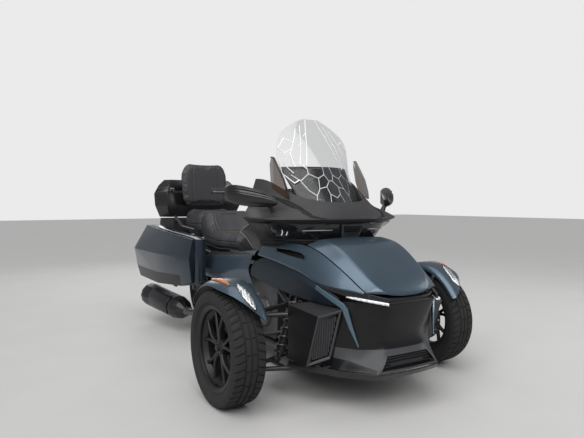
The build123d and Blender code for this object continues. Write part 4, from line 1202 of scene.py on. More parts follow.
        # each row: a point of the strip and its half height
        path = ((404, 265, 543, 2.5), (450, 237, 538, 6.5), (500, 206, 532, 6.5), (578, 157, 523, 6.5))
        bar(side.lines([(x + 3, y + 3, z + tall), (x + 7, y + 7, z), (x + 3, y + 3, z - tall), (x - 8, y - 8, z - tall),
                        (x - 8, y - 8, z + tall)] for x, y, z, tall in path)
            ).piece("light_strip_" + side.word, LED, nodes=side.first("headlamps"), smooth=40, edge=1.2)

    def chin(self) -> None:
        """The plate, in black painted as shadow, and the louvres behind the chin's opening."""
        BMeshPiece().plate([(525, -178, 207), (525, 178, 207), (525, 140, 256), (524, 122, 280), (524, -122, 280),
                            (525, -140, 256)], (-3, 0, 0)).piece("chin_backing", PAINTED_SHADOW_BLACK)
        louvres = BMeshPiece()
        for z, wide in ((226, 160), (240, 150), (254, 139), (266, 128)):
            louvres.plate([(526, -wide, z), (526, wide, z), (530, wide, z - 3), (530, -wide, z - 3)], (0, 0, 1.6))
        louvres.piece("chin_louvres", SATIN)

    def scoop_mouth(self, side: Side) -> None:
        """The filler behind the mask's rear edge, a sheet in black painted as shadow, and the scoop's slats and rim.

        Args:
            side: the side of the vehicle.
        """
        filler = (((396, 284, 518), (330, 290, 514)), ((376, 288, 420), (300, 292, 420)),
                  ((356, 290, 340), (280, 296, 340)), ((334, 302, 208), (262, 306, 208)))
        BMeshPiece().loft(side.lines(filler)).piece("mask_filler_" + side.word, PAINTED_SHADOW_BLACK, wall=3.0, offset=0.0)
        slats = BMeshPiece()
        for i in range(19):
            # the slats stand upright to a front view, so each ends where it meets the leaning mouth
            foot, lean = 0.12 + i * 0.072, 0.54
            low, high = max(0.05, (foot - 0.92) / lean), min(0.92, (foot - 0.2) / lean)
            if high - low >= 0.08:
                ends = [(268 + 48 * t + (94 - 8 * t) * up, 403 - 107 * t, 214 + 32 * t + (238 - 6 * t) * up)
                        for up, t in ((low, foot - lean * low), (high, foot - lean * high))]
                slats.plate(side.line(ends + [(x - 9, y, z) for x, y, z in reversed(ends)]), (0, side.value * 2.6, 0))
        slats.piece("scoop_grille_" + side.word, SLAT)
        mouth = [(274, 403, 206), (372, 403, 460), (412, 296, 486), (322, 296, 238)]
        # each row: how far the rim's next edge lies from each corner of the mouth
        steps = (((4, -4, 5), (0, -4, -6), (0, 4, -6), (4, 4, 5)),
                 ((1, -24, 17), (-11, -27, -22), (-13, 9, -16), (-3, 9, 14)))
        rings = [mouth] + [[tuple(map(sum, zip(*pair))) for pair in zip(mouth, row)] for row in steps]
        BMeshPiece().loft(side.lines(rings), closed=True).piece("scoop_rim_" + side.word, GREY, wall=2.0, offset=0.0,
                                                                edge=0.8)

    def blade(self, side: Side) -> None:
        """The bent pale blade beside the mask.

        Args:
            side: the side of the vehicle.
        """
        # each row: outer front, outer rear, inner rear and inner front points of the blade's section
        rows = [
            [(258, 336, 584), (250, 338, 566), (244, 331, 566), (253, 328, 584)],
            [(330, 318, 552), (318, 322, 532), (312, 314, 532), (326, 310, 552)],
            [(412, 291, 516), (400, 297, 494), (394, 289, 494), (408, 283, 516)],
            [(434, 283, 494), (410, 291, 478), (405, 283, 478), (430, 276, 494)],
            [(450, 264, 410), (431, 272, 405), (427, 264, 405), (445, 257, 410)],
            [(468, 241, 320), (463, 243, 317), (460, 239, 317), (465, 238, 320)],
        ]
        bar(side.lines(rows)).piece("trim_blade_" + side.word, TRIM, nodes=side.first("trim_blades"), edge=1.2)

    def flank(self, side: Side) -> None:
        """The flank under the quarter panel, in blue paint darkened as painted shade, and the fin behind it.

        Args:
            side: the side of the vehicle.
        """
        # each row: top, upper crease, lower crease and bottom points of the flank
        rows = [
            [(-446, 318, 600), (-446, 320, 590), (-448, 321, 570), (-449, 318, 552)],
            [(-330, 322, 678), (-330, 330, 650), (-340, 330, 590), (-345, 318, 530)],
            [(-110, 324, 660), (-110, 336, 628), (-120, 334, 565), (-120, 318, 508)],
            [(112, 322, 626), (112, 336, 598), (100, 332, 545), (96, 318, 498)],
            [(226, 320, 590), (226, 332, 566), (220, 328, 525), (214, 317, 495)],
            [(330, 306, 560), (328, 312, 542), (322, 312, 515), (318, 308, 494)],
            [(384, 290, 535), (382, 294, 524), (378, 293, 508), (372, 291, 496)],
        ]
        sheet = BMeshPiece().loft(side.lines(rows))
        sheet.crease(lambda a, b: all(any(near(end.z, row[1][2]) for row in rows) for end in (a, b)), 0.8).crease()
        sheet.piece("flank_" + side.word, SHADED_FLANK_BLUE, nodes=side.first("flanks"), smooth=60, rounds=2, wall=self.wall,
                    offset=0.0, edge=1.2)
        outline = [(-336, 742), (-338, 800), (-346, 856), (-400, 872), (-470, 866), (-548, 838), (-612, 812),
                   (-606, 794), (-560, 790), (-500, 752), (-430, 704), (-352, 702)]
        BMeshPiece().plate(side.line([(x, 288, z) for x, z in outline]), (0, side.value * 18, 0)).soften(
            5.0, 3).piece("knee_fin_" + side.word, GLOSS, smooth=40)
        trim = [(-400, 306, 868), (-470, 307, 862), (-548, 307, 834), (-606, 307, 808), (-602, 307, 795),
                (-560, 307, 786), (-500, 307, 750), (-432, 307, 706)]
        BMeshPiece().tube(side.line(trim), (2, 4, 5, 5, 5, 5, 4, 2), 10).piece(
            "knee_fin_edge_" + side.word, STEEL, smooth=60)

    def build(self, frame: dict) -> None:
        """Build every piece of the nose.

        Args:
            frame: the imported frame's data.
        """
        self.lid()
        both(self.quarter_panel)
        self.mask()
        self.lips()
        both(self.lamps)
        self.chin()
        both(self.scoop_mouth, self.blade, self.flank)
        scoops = node_copy("air_scoops")
        # the scoops' faces that look sideways get the darker black: painted shade on the walls turned from the light
        paint([f for f in scoops.bm.faces if abs(f.normal.y) > 0.7], 1)
        scoops.piece("air_scoops_body", BLACK, MASK_AND_SIDE_SHADE_BLACK, nodes=("air_scoops",), smooth=32.0, edge=2.5)
        polish(frame, "front_bin", BLACK, 2.0)
        LOG.info("nose: lid, panels, mask, lips, lamps, scoops, blades, flanks and bin")


# Fairing and screen

@dataclass
class Fairing:
    """The upper fairing with its lens band, collar, screen, fins and mirrors."""

    # each row: the points of one level from the front centre to the rear outer corner
    levels: tuple[Row, ...] = (
        ((66, 0, 776), (60, 145, 776), (14, 240, 776), (-130, 318, 776), (-330, 326, 776)),
        ((79, 0, 786), (73, 150, 786), (22, 252, 786), (-120, 338, 786), (-330, 338, 786)),
        ((112, 0, 872), (104, 158, 872), (44, 285, 872), (-62, 424, 872), (-330, 404, 872)),
        ((124, 0, 877), (116, 164, 877), (52, 300, 877), (-56, 450, 879), (-330, 415, 882)),
        ((139, 0, 893), (132, 179, 893), (64, 329, 893), (-46, 493, 895), (-330, 432, 895)),
        ((137, 0, 902), (129, 178, 902), (59, 328, 902), (-52, 490, 903), (-330, 431, 903)),
        ((108, 0, 938), (98, 166, 938), (10, 300, 938), (-98, 430, 938), (-334, 414, 938)),
        ((80, 0, 962), (70, 149, 962), (-34, 259, 962), (-138, 350, 962), (-345, 390, 962)),
        ((54, 0, 980), (42, 147, 980), (-62, 254, 990), (-188, 336, 1024), (-358, 368, 1030)),
        ((46, 0, 984), (32, 146, 986), (-106, 247, 1022), (-272, 304, 1118), (-383, 324, 1122)),
    )

    def shell(self) -> None:
        """The shell: brim, sweep and collar, open at the lens band."""
        rows = [whole_width(row) for row in self.levels]
        for part, name, nodes, rounds in ((rows[:2], "fairing_sill", (), 1),
                                          (rows[2:], "fairing_shell", ("upper_fairing",), 3)):
            sheet = BMeshPiece().loft(part)
            sheet.crease(lambda a, b: 891 < min(a.z, b.z) and max(a.z, b.z) < 904 and abs(a.z - b.z) < 3, 0.5)
            sheet.crease().piece(name, COLLAR, nodes=nodes, smooth=60, rounds=rounds, wall=5.0, edge=1.5)
        # the apron under the sill is a sheet in black painted as shadow
        apron = self.levels[0], [(x - 28, y * 0.93, z - 40) for x, y, z in self.levels[0]]
        BMeshPiece().loft([whole_width(row) for row in apron]).piece("fairing_apron", PAINTED_SHADOW_BLACK, smooth=60, wall=3.0,
                                                                     offset=0.0)
        for side in Side:
            cheek = BMeshPiece().loft(side.lines((self.levels[1][3:], self.levels[2][3:])))
            cheek.reverse_if(side is Side.LEFT).piece("fairing_cheek_" + side.word, COLLAR, wall=5.0, offset=0.0)

    def lens(self) -> None:
        """The smoked lens band and the dark wall behind it."""
        low, high = self.levels[1][:4], self.levels[2][:4]
        mid = [((a[0] + b[0]) / 2 + 4, (a[1] + b[1]) / 2 + 3, (a[2] + b[2]) / 2) for a, b in zip(low, high)]
        rows = [whole_width(row) for row in (low, mid, high)]
        BMeshPiece().loft(rows).crease().piece("lens_band", LENS, nodes=("lamp_lens",), smooth=60, rounds=3, wall=3.0)
        BMeshPiece().loft([[(x - 26, y * 0.94, z) for x, y, z in row] for row in rows]).piece(
            "lens_backing", GLOSS, smooth=60, wall=3.0)

    def crescents(self, side: Side) -> None:
        """The two lit crescents and the bright bar inside the lens.

        Args:
            side: the side of the vehicle.
        """
        for inset in (0, 22):
            rows = []
            for i in range(7):
                turn = math.radians(-70 + i * 140 / 6)
                width = 2.2 + 2.6 * math.sin(math.radians(i * 30))
                rise, out = math.sin(turn), math.cos(turn)
                x, y = -48 + inset * 0.62 + out * 4, 356 - inset
                rows.append([(x, y - out * 9, 828 + rise * 19),
                             (x + 2, y - out * (9 + width), 828 + rise * (19 + width))])
            BMeshPiece().loft(side.lines(rows)).reverse_if(side is Side.LEFT).piece(
                f"crescent_{side.word}_{inset}", LED, wall=2.0, offset=0.0)
        path = ((96, 120, 836), (86, 170, 836), (62, 222, 835), (34, 268, 834))
        bar(side.lines([(x + 1.5, y, z - 3), (x + 3, y, z), (x + 1.5, y, z + 3), (x - 4, y, z)] for x, y, z in path)
            ).piece("lens_bar_" + side.word, STEEL, smooth=60)

    def intake(self) -> None:
        """The bare trapezoid intake in the middle of the band, with its grey border."""
        ring = [(113, -74, 866), (113, 74, 866), (88, 56, 796), (88, -56, 796)]
        border = BMeshPiece().plate(ring, (9, 0, -2))
        front = max(border.bm.faces, key=lambda f: f.calc_center_median().x)
        bmesh.ops.inset_region(border.bm, faces=[front], thickness=0.011, depth=0.0)
        walls = border.push(bmesh.ops.extrude_face_region(border.bm, geom=[front])["geom"], (-8, 0, 0))
        bmesh.ops.delete(border.bm, geom=[front], context="FACES")
        paint(walls, 1)
        border.faces_out().piece("intake_border", GREY, GLOSS, smooth=30, edge=1.2)
        BMeshPiece().plate([(x + 8.6, y * 0.84, 831 + (z - 831) * 0.76) for x, y, z in ring], (2, 0, -0.4)).piece(
            "intake_floor", GLOSS)
        slats = BMeshPiece()
        for i in range(5):
            x, wide, z = 107.5 + i * 3.55, 44 + i * 3, 812 + i * 10
            slats.plate([(x, -wide, z), (x, wide, z), (x + 1, wide, z + 3), (x + 1, -wide, z + 3)], (2, 0, -0.5))
        slats.piece("intake_slats", SATIN)

    def groove(self) -> None:
        """The long black groove that falls along each side of the collar, laid on the shell: a black groove, drawn in
        black painted as shadow for the shade in it.
        """
        shell = BVHTree.FromObject(bpy.data.objects["fairing_shell"], bpy.context.evaluated_depsgraph_get())
        # each row: the groove's middle and its width there
        track = [((-182, 336, 1026), 5), ((-128, 312, 1004), 20), ((-74, 286, 982), 34), ((-20, 268, 958), 38),
                 ((36, 262, 936), 34), ((92, 246, 917), 22), ((122, 200, 904), 10), ((130, 170, 900), 2)]
        fine = [(Vector(a).lerp(Vector(b), k / 6), a_wide + (b_wide - a_wide) * k / 6)
                for (a, a_wide), (b, b_wide) in zip(track, track[1:]) for k in range(6)]
        rows = []
        for i, (spot, wide) in enumerate(fine):
            along = (fine[min(i + 1, len(fine) - 1)][0] - fine[max(i - 1, 0)][0]).normalized()
            across = along.cross(Vector((0.3, 0.5, 0.8))).normalized() * wide / 2
            row = []
            for share in (-1.0, -0.5, 0.0, 0.5, 1.0):
                found, up = shell.find_nearest(at(*(spot + across * share)))[:2]
                lifted = found + up * 0.0011 * (1.8 - abs(share))
                row.append((lifted.x * 1000 - AXLE_X, lifted.y * 1000, lifted.z * 1000))
            rows.append(row)
        for side in Side:
            strip = BMeshPiece().loft(side.lines(rows))
            strip.reverse_if(strip.bm.faces[:][3].normal.z < 0).piece("collar_groove_" + side.word, PAINTED_SHADOW_BLACK, smooth=70,
                                                                      wall=2.0)

    def build(self, frame: dict) -> None:
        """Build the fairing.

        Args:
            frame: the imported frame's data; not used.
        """
        self.shell()
        self.lens()
        both(self.crescents)
        self.intake()
        self.groove()
        LOG.info("fairing: shell, lens, crescents, intake and grooves")


@dataclass
class Screen:
    """The tall screen, the dark panel behind its foot and the two smoked fins."""

    # each row: height, middle x, edge x and edge y of the screen
    rows: tuple[tuple[float, float, float, float], ...] = (
        (945, 38, -68, 186), (1040, -24, -140, 226), (1134, -88, -246, 252), (1250, -160, -262, 256),
        (1352, -224, -272, 252), (1420, -266, -292, 178), (1460, -288, -299, 112), (1483, -300, -303, 56),
    )
    panel_rows: tuple[tuple[float, float, float, float], ...] = (
        (945, 22, -78, 172), (1040, -40, -144, 210), (1120, -94, -210, 224), (1188, -134, -262, 236),
    )
    columns: int = 14
    line_finish: LinedSheet = LinedSheet("lined_screen", "clear_screen", (0.10, 0.11, 0.12), (
        (36, 1476, 118, 1196, 2.4), (84, 1440, 150, 1204, 2.0), (118, 1416, 188, 1262, 2.0),
        (62, 1392, 84, 1372, 1.6), (106, 1330, 134, 1312, 1.6), (188, 1262, 176, 1188, 2.2),
        (150, 1204, 122, 1176, 1.8), (206, 1356, 244, 1300, 2.4), (244, 1300, 216, 1268, 2.4),
        (216, 1268, 176, 1292, 1.8), (206, 1356, 160, 1330, 2.0), (244, 1240, 238, 1150, 2.0),
        (238, 1150, 198, 1092, 2.4), (198, 1092, 172, 1110, 2.2), (228, 1210, 190, 1150, 1.6),
        (160, 1330, 118, 1416, 1.6),
    ), 0.97)
    net_finish: LinedSheet = LinedSheet("netted_panel", "gloss_black", (0.008, 0.008, 0.009), (
        (0, 1010, 34, 1030, 1.8), (34, 1030, 40, 1072, 1.8), (40, 1072, 84, 1060, 1.6), (84, 1060, 110, 1020, 1.6),
        (40, 1072, 12, 1104, 1.8), (12, 1104, 30, 1142, 1.8), (30, 1142, 70, 1120, 1.6), (70, 1120, 84, 1060, 1.6),
        (12, 1104, 0, 1108, 1.8), (30, 1142, 22, 1186, 1.6), (70, 1120, 116, 1146, 1.6), (116, 1146, 112, 1190, 1.6),
        (116, 1146, 164, 1104, 1.6), (164, 1104, 140, 1050, 1.6), (34, 1030, 52, 968, 1.6), (110, 1020, 140, 1050, 1.6),
        (110, 1020, 124, 962, 1.6), (164, 1104, 196, 1140, 1.6),
    ), rough=0.26)

    def arc(self, row: tuple[float, ...], count: int) -> list[Point]:
        """The points of one level's bow, from right to left.

        Args:
            row: the level's height, middle x, edge x and half width.
            count: parts across.

        Returns:
            The points.
        """
        z, mid, edge, width = row
        shares = [2.0 * i / count - 1.0 for i in range(count + 1)]
        return [(mid + (edge - mid) * share * share, share * width, z) for share in shares]

    def build(self, frame: dict) -> None:
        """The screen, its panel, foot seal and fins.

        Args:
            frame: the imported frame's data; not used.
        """
        for name, rows, finish, node, rim, wall, edge in (
                ("tall_screen", self.rows, self.line_finish, "windshield", 0.9, 4.0, 1.0),
                ("screen_foot_panel", self.panel_rows, self.net_finish, "screen_panel", 0.7, 3.0, 0.0)):
            BMeshPiece().loft([self.arc(row, self.columns) for row in rows]).crease(amount=rim).piece(
                name, finish, nodes=(node,), smooth=70, rounds=2, wall=wall, edge=edge)
        bar([[(x + 7, y * 1.03, z - 4), (x + 7, y * 1.03, z + 10), (x - 18, y * 0.97, z + 14),
              (x - 18, y * 0.97, z - 6)] for x, y, z in self.arc((945, 36, -74, 182), 12)]
            ).piece("screen_foot_seal", SATIN, smooth=50, edge=2.0)
        outline = [(-88, 274, 1006), (-96, 276, 1046), (-132, 282, 1118), (-186, 286, 1188), (-226, 288, 1238),
                   (-250, 292, 1240), (-258, 298, 1200), (-240, 302, 1110), (-214, 304, 1052), (-200, 302, 1016)]
        for side in Side:
            BMeshPiece().plate(side.line(outline), (0, side.value * 4, 0)).soften(1.2).piece(
                "wind_fin_" + side.word, SMOKE, nodes=side.first("deflectors"), smooth=40)
            bar(side.lines([(x + 5, y + 7, z), (x, y + 9, z + 3), (x - 7, y + 7, z - 4), (x - 3, y - 3, z)]
                           for x, y, z in outline[:6])).piece("fin_edge_" + side.word, GLOSS, smooth=40, edge=1.0)
        LOG.info("screen: sheet, panel, seal and fins")


# Wheels and mudguards

def polar(point: Vector, centre: Point, steps: int) -> tuple[float, float, int]:
    """A point's radius and offset from a wheel's centre in millimetres, and its step round the wheel.

    Args:
        point: the point.
        centre: the wheel's centre in millimetres.
        steps: steps in one turn.

    Returns:
        The radius, the offset and the step.
    """
    away = point - at(*centre)
    turn = math.atan2(away.z, away.x) / math.tau
    return math.hypot(away.x, away.z) * 1000, away.y * 1000, int((turn + 4) * steps)


@dataclass
class Wheel:
    """One wheel: a treaded tyre, a forked-spoke rim, its hub cap, valve and drilled disc."""

    body: str
    tyre_node: str
    rim_node: str
    centre: Point
    radius: float
    width: float
    rim_half: float
    outward: int
    disc_at: float
    lateral: int = 48
    spokes: int = 5

    def tyre(self) -> None:
        """The tyre: grooved crown, sipes over both shoulders, stepped wall and bead."""
        half, top, seat = self.width / 2, self.radius, self.rim_half - 8
        crown: list[Pair] = [(top - 7, -half * 0.9), (top - 3.2, -half * 0.74)]
        for place in (-0.36 * half, 0.0, 0.36 * half):
            rise = top - 1.1 * abs(place) / (0.42 * half)
            crown += [(rise - drop, place + step) for drop, step in (
                (0, -5), (1.2, -4), (6, -3), (6, 3), (1.2, 4), (0, 5))]
        crown += [(top - 3.2, half * 0.74), (top - 7, half * 0.9)]
        wall = [(top - 16, half - 3.5), (top - 30, half), (top - 44, half - 0.4), (top - 46, half - 1.6),
                (top - 58, half - 2.2), (214, seat + 11.5), (209, seat + 12.5), (205, seat + 8), (192.6, seat + 1)]
        profile = [(r, -a) for r, a in reversed(wall)] + crown + wall
        steps = self.lateral * 4
        sheet = BMeshPiece().spun(profile, self.centre, steps)
        sipes = []
        for face in sheet.bm.faces:
            r, off, step = polar(face.calc_center_median(), self.centre, steps)
            shoulder = 0.44 * half < abs(off) and r > top - 14
            middle = 0.08 * half < abs(off) < 0.28 * half and r > top - 3
            if (shoulder and step % 4 == 0) or (middle and step % 8 == 2):
                sipes.append(face)
        for thickness, depth in ((0.0012, 0.0), (0.0008, -0.0045)):
            bmesh.ops.inset_region(sheet.bm, faces=sipes, thickness=thickness, depth=depth, use_even_offset=True)
        hub = at(*self.centre)
        for vert in sheet.bm.verts:
            r, off, _ = polar(vert.co, self.centre, steps)
            if r > top - 15:
                skew = 0.6 * math.radians(max(abs(off) / half - 0.3, 0.0) * 9.0)
                vert.co = hub + Matrix.Rotation(skew, 3, "Y") @ (vert.co - hub)
        name = self.tyre_node + "_rubber"
        sheet.piece(name, Rubber(name, "tyre", (0.02, 0.02, 0.021), self.centre, half, top), body=self.body,
                    nodes=(self.tyre_node,), smooth=38)

    def barrel(self) -> BMeshPiece:
        """The rim's barrel with its flanges and dropped centre."""
        half, bead = self.rim_half, 190.5
        outer = [(bead - 24, 0), (bead - 24, half * 0.35), (bead - 8, half - 22), (bead, half - 14), (bead, half - 7),
                 (203, half - 4), (206, half - 2), (205, half), (201, half - 0.4)]
        inner = [(bead - 2, half - 5), (bead - 7, half - 9), (bead - 9, half - 24), (bead - 28, half * 0.35),
                 (bead - 29, 0)]
        other = [(r, -a) for r, a in reversed(outer + inner) if a > 0]
        return BMeshPiece().spun(outer + inner + other, self.centre, 96, closed=True)

    def spoke_arms(self, sheet: BMeshPiece) -> None:
        """The forked spokes: each two arms that part on their way to the rim.

        Args:
            sheet: the rim's mesh.
        """
        cx, cy, cz = self.centre
        face = self.outward * (self.rim_half - 34)
        # each row: radius, turn of the arm's middle in degrees, half width, face height, depth
        rows = [(34, 4.0, 11.5, 2, 34), (62, 4.6, 9.0, 8, 30), (96, 8.0, 8.0, 9, 26), (140, 13.2, 8.4, 6, 22),
                (170, 16.4, 10.5, 4, 20), (185, 17.4, 14.0, 3, 24)]
        for spoke in range(self.spokes):
            for hand in (-1, 1):
                chain = []
                for radius, turn, wide, rise, deep in rows:
                    angle = math.radians(spoke * 360 / self.spokes + hand * turn + 90)
                    out, along = (math.cos(angle), math.sin(angle)), (-math.sin(angle), math.cos(angle))
                    section = [(-wide, rise - 5), (-wide + 3.5, rise), (wide - 3.5, rise), (wide, rise - 5),
                               (wide * 0.72, rise - deep), (-wide * 0.72, rise - deep)]
                    chain.append([(cx + out[0] * radius + along[0] * w, cy + face + self.outward * h,
                                   cz + out[1] * radius + along[1] * w) for w, h in section])
                sheet.loft(chain, closed=True, capped=True)

    def rim(self) -> None:
        """The rim in one piece with its spokes, hub cap, bolts and valve."""
        sheet = self.barrel()
        self.spoke_arms(sheet)
        cx, cy, cz = self.centre
        face = self.outward * (self.rim_half - 34)
        back = self.disc_at - self.outward * 6
        # each row: radius, and height over the spokes' face
        cap = ((0.01, 17), (14, 17), (17, 15), (18, 8), (30, 7), (41, 3), (43, -3), (44, -30))
        sheet.spun([(r, face + self.outward * a) for r, a in cap] + [(38, back), (18, back)], self.centre, 60)
        for i in range(5):
            turn = math.radians(i * 72 + 54)
            sheet.cone((cx + 33 * math.cos(turn), cy + face + self.outward * 6, cz + 33 * math.sin(turn)),
                       math.pi / 2, (5.5, 5.2), 8, 6)
        sheet.cone((cx, cy + self.outward * (self.rim_half - 16), cz - 176), math.radians(62 * -self.outward),
                   (4, 2.8), 26, 12)
        sheet.faces_out().piece(self.rim_node + "_rim", ALLOY, body=self.body, nodes=(self.rim_node,), smooth=34,
                                edge=1.6)

    def disc(self) -> None:
        """The drilled brake disc and its carrier."""
        steps = 120
        for name, finish, wall, low, high in (("_disc", DISC_STEEL, 4.4, 92, 134.5), ("_carrier", ALLOY, 3.2, 44, 96)):
            drilled = low > 60
            radii = [low, low + 4] + [low + (high - low) * share for share in (0.36, 0.5, 0.82)] + [high]
            sheet = BMeshPiece().spun([(radius, self.disc_at) for radius in radii], self.centre, steps)
            holes = []
            for face in sheet.bm.faces:
                radius, _, step = polar(face.calc_center_median(), self.centre, steps)
                share = (radius - low) / (high - low)
                if any(start < share < end and step % 5 == turn for start, end, turn in (
                        (0.1, 0.36, 0), (0.36, 0.5, 2), (0.5, 0.82, 4))) if drilled else (
                        0.5 < share < 0.82 and step % 20 < 13):
                    holes.append(face)
            if drilled:
                bmesh.ops.inset_individual(sheet.bm, faces=holes, thickness=0.0008)
            bmesh.ops.delete(sheet.bm, geom=holes, context="FACES")
            sheet.piece(self.rim_node + name, finish, body=self.body, smooth=40, wall=wall, offset=0.0, edge=0.5,
                        segments=1)

    def build(self, frame: dict) -> None:
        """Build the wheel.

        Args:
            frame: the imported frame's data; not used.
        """
        self.tyre()
        self.rim()
        self.disc()
        LOG.info("wheel: %s", self.rim_node)


@dataclass
class RearDrive:
    """The rear sprocket with its cut teeth and spokes, and the belt."""

    centre: Point = (-BASE, 0.0, REAR_HUB_Z)
    teeth: int = 64

    def build(self, frame: dict) -> None:
        """The toothed sprocket on the rear wheel, and the belt.

        Args:
            frame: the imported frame's data.
        """
        ring = [(58, 123), (58, 145), (74, 145), (74, 138), (104, 138), (106, 145), (116, 145), (118, 144),
                (118, 124), (106, 123), (104, 128), (74, 128), (74, 123)]
        sheet = BMeshPiece().spun(ring, self.centre, self.teeth * 2, closed=True)
        cuts = (lambda r, off, step: r > 116.5 and step % 2 == 0, 0.0006, -0.0028), (
            lambda r, off, step: 76 < r < 102 and 126 < off < 140 and step % 16 < 10, 0.002, -0.003)
        for test, thickness, depth in cuts:
            faces = sheet.pick(lambda middle: test(*polar(middle, self.centre, self.teeth * 2)))
            bmesh.ops.inset_region(sheet.bm, faces=faces, thickness=thickness, depth=depth)
        sheet.piece("rear_sprocket", STEEL, body="rear_wheel", smooth=34)
        polish(frame, "drive_belt", BELT, 0.8)
        LOG.info("drive: sprocket and belt")


@dataclass
class Mudguards:
    """Both front mudguards with their swept lower edge, teardrop lamp and amber strip."""

    # each row: degrees up from the front, outer edge offset, inner edge offset
    edge_rows: tuple[tuple[float, float, float], ...] = (
        (150, -44, 66), (145, -66, 84), (138, -80, 92), (128, -85, 95), (114, -85, 95), (100, -85, 95),
        (86, -85, 95), (76, -84, 95), (68, -77, 95), (60, -60, 95), (52, -35, 95), (44, -4, 95), (37, 30, 95),
        (32, 56, 94), (29, 76, 92),
    )
    # each row: offset from the tyre's middle and radius of the crown
    crown: tuple[Pair, ...] = ((-85, 304), (-76, 315), (-60, 326), (-24, 337), (0, 338), (24, 338), (66, 332),
                               (84, 322), (95, 309))

    def height(self, offset: float) -> float:
        """The crown's radius at an offset.

        Args:
            offset: millimetres from the tyre's middle.

        Returns:
            The radius in millimetres.
        """
        for (a0, r0), (a1, r1) in zip(self.crown, self.crown[1:]):
            if offset <= a1:
                return r0 + (r1 - r0) * max(offset - a0, 0.0) / (a1 - a0)
        return self.crown[-1][1]

    def over(self, side: Side, degrees: float, offset: float, rise: float) -> Point:
        """A point at a rise over the crown; offsets grow inward on both sides."""
        turn, radius = math.radians(degrees), self.height(offset) + rise
        return (radius * math.cos(turn), side.value * (HUB_Y - offset), HUB_Z + radius * math.sin(turn))

    def outward(self, sheet: BMeshPiece, side: Side, index: int) -> BMeshPiece:
        """Turn a sheet over if one of its faces looks at the hub.

        Args:
            sheet: the sheet.
            side: the side of the vehicle.
            index: the face that is tested.

        Returns:
            The sheet.
        """
        face = sheet.bm.faces[:][index]
        away = face.calc_center_median() - at(0.0, side.value * HUB_Y, HUB_Z)
        return sheet.reverse_if(away.dot(face.normal) < 0)

    def shell(self, side: Side) -> None:
        """The painted guard with its dark inside.

        Args:
            side: the side of the vehicle.
        """
        shares = (0.0, 0.05, 0.14, 0.3, 0.5, 0.68, 0.84, 0.94, 1.0)
        rows = [[self.over(side, degrees, low + (high - low) * share, 0.0) for share in shares]
                + [self.over(side, degrees, high, -11)] for degrees, low, high in self.edge_rows]
        sheet = self.outward(BMeshPiece().loft(rows).crease(), side, 0)
        made = sheet.piece("mudguard_shell_" + side.word, BLUE, SATIN, body="upright_" + side.word,
                           nodes=("mudguard_" + side.word,), smooth=60, rounds=2)
        wall = thicken(made, 3.5)
        wall.material_offset = wall.material_offset_rim = 1
        ease_edges(made, 1.0)

    def lamp(self, side: Side) -> None:
        """The teardrop lamp in its dark bed, and the amber strip behind it.

        Args:
            side: the side of the vehicle.
        """
        body = "upright_" + side.word
        # each row: degrees, middle offset, half width of the teardrop
        drop = [(69.5, 2, 1.5), (68, 4, 9.0), (63.5, 8, 17.0), (58, 13, 22.0), (52, 18, 22.0), (47, 22, 18.0),
                (43, 25, 11.5), (40, 27, 2.0)]
        for name, finish, lift, grow, nodes in (
                ("lamp_bed_", GLOSS, 1.0, 3.5, ()),
                ("marker_lens_", CHROME_LAMP, 3.2, 0.0, ("mudguard_lamp_" + side.word,))):
            rows = []
            for degrees, middle, half in drop:
                row = []
                for share in (-1.0, -0.86, -0.45, 0.0, 0.45, 0.86, 1.0):
                    dome = lift * (abs(share) < 1.0) + (4.5 - 4.0 * share * share) * (lift > 2)
                    row.append(self.over(side, degrees + (grow * 0.2 if degrees > 60 else -grow * 0.2),
                                         middle + (half + grow) * share, dome - 1.0))
                rows.append(row)
            self.outward(BMeshPiece().loft(rows), side, 8).piece(
                name + side.word, finish, body=body, nodes=nodes, smooth=60, rounds=2, wall=2.5)
        rows = []
        for i in range(11):
            wide = 12.0 * min(1.0, 0.25 + min(i, 10 - i) * 0.25)
            rows.append([self.over(side, 99 - i * 2.9, -52 + i * 1.9 + wide * share, rise) for share, rise in (
                (-1, -0.5), (-0.8, 3.5), (0, 5.0), (0.8, 3.5), (1, -0.5))])
        bar(rows).piece("amber_strip_" + side.word, AMBER, body=body, smooth=50, edge=1.0)

    def build(self, frame: dict) -> None:
        """Build both mudguards.

        Args:
            frame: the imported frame's data.
        """
        for side in Side:
            self.shell(side)
            self.lamp(side)
            polish(frame, "knuckle_" + side.word, CAST, 2.0)
        LOG.info("mudguards: shells, lamps, strips and knuckles")


def wheels() -> list[Wheel]:
    """The three wheels of the vehicle."""
    made = [Wheel(f"front_wheel_{s.word}", f"tyre_front_{s.word}", f"wheel_front_{s.word}",
                  (0.0, s.value * HUB_Y, HUB_Z), 281.0, 165.0, 68.0, s.value, -s.value * 44.0) for s in Side]
    made.append(Wheel("rear_wheel", "tyre_rear", "wheel_rear", (-BASE, 0.0, REAR_HUB_Z), 303.0, 225.0, 96.0, -1,
                      66.0, 54))
    return made


# Mirrors, dash, console, bars and boards

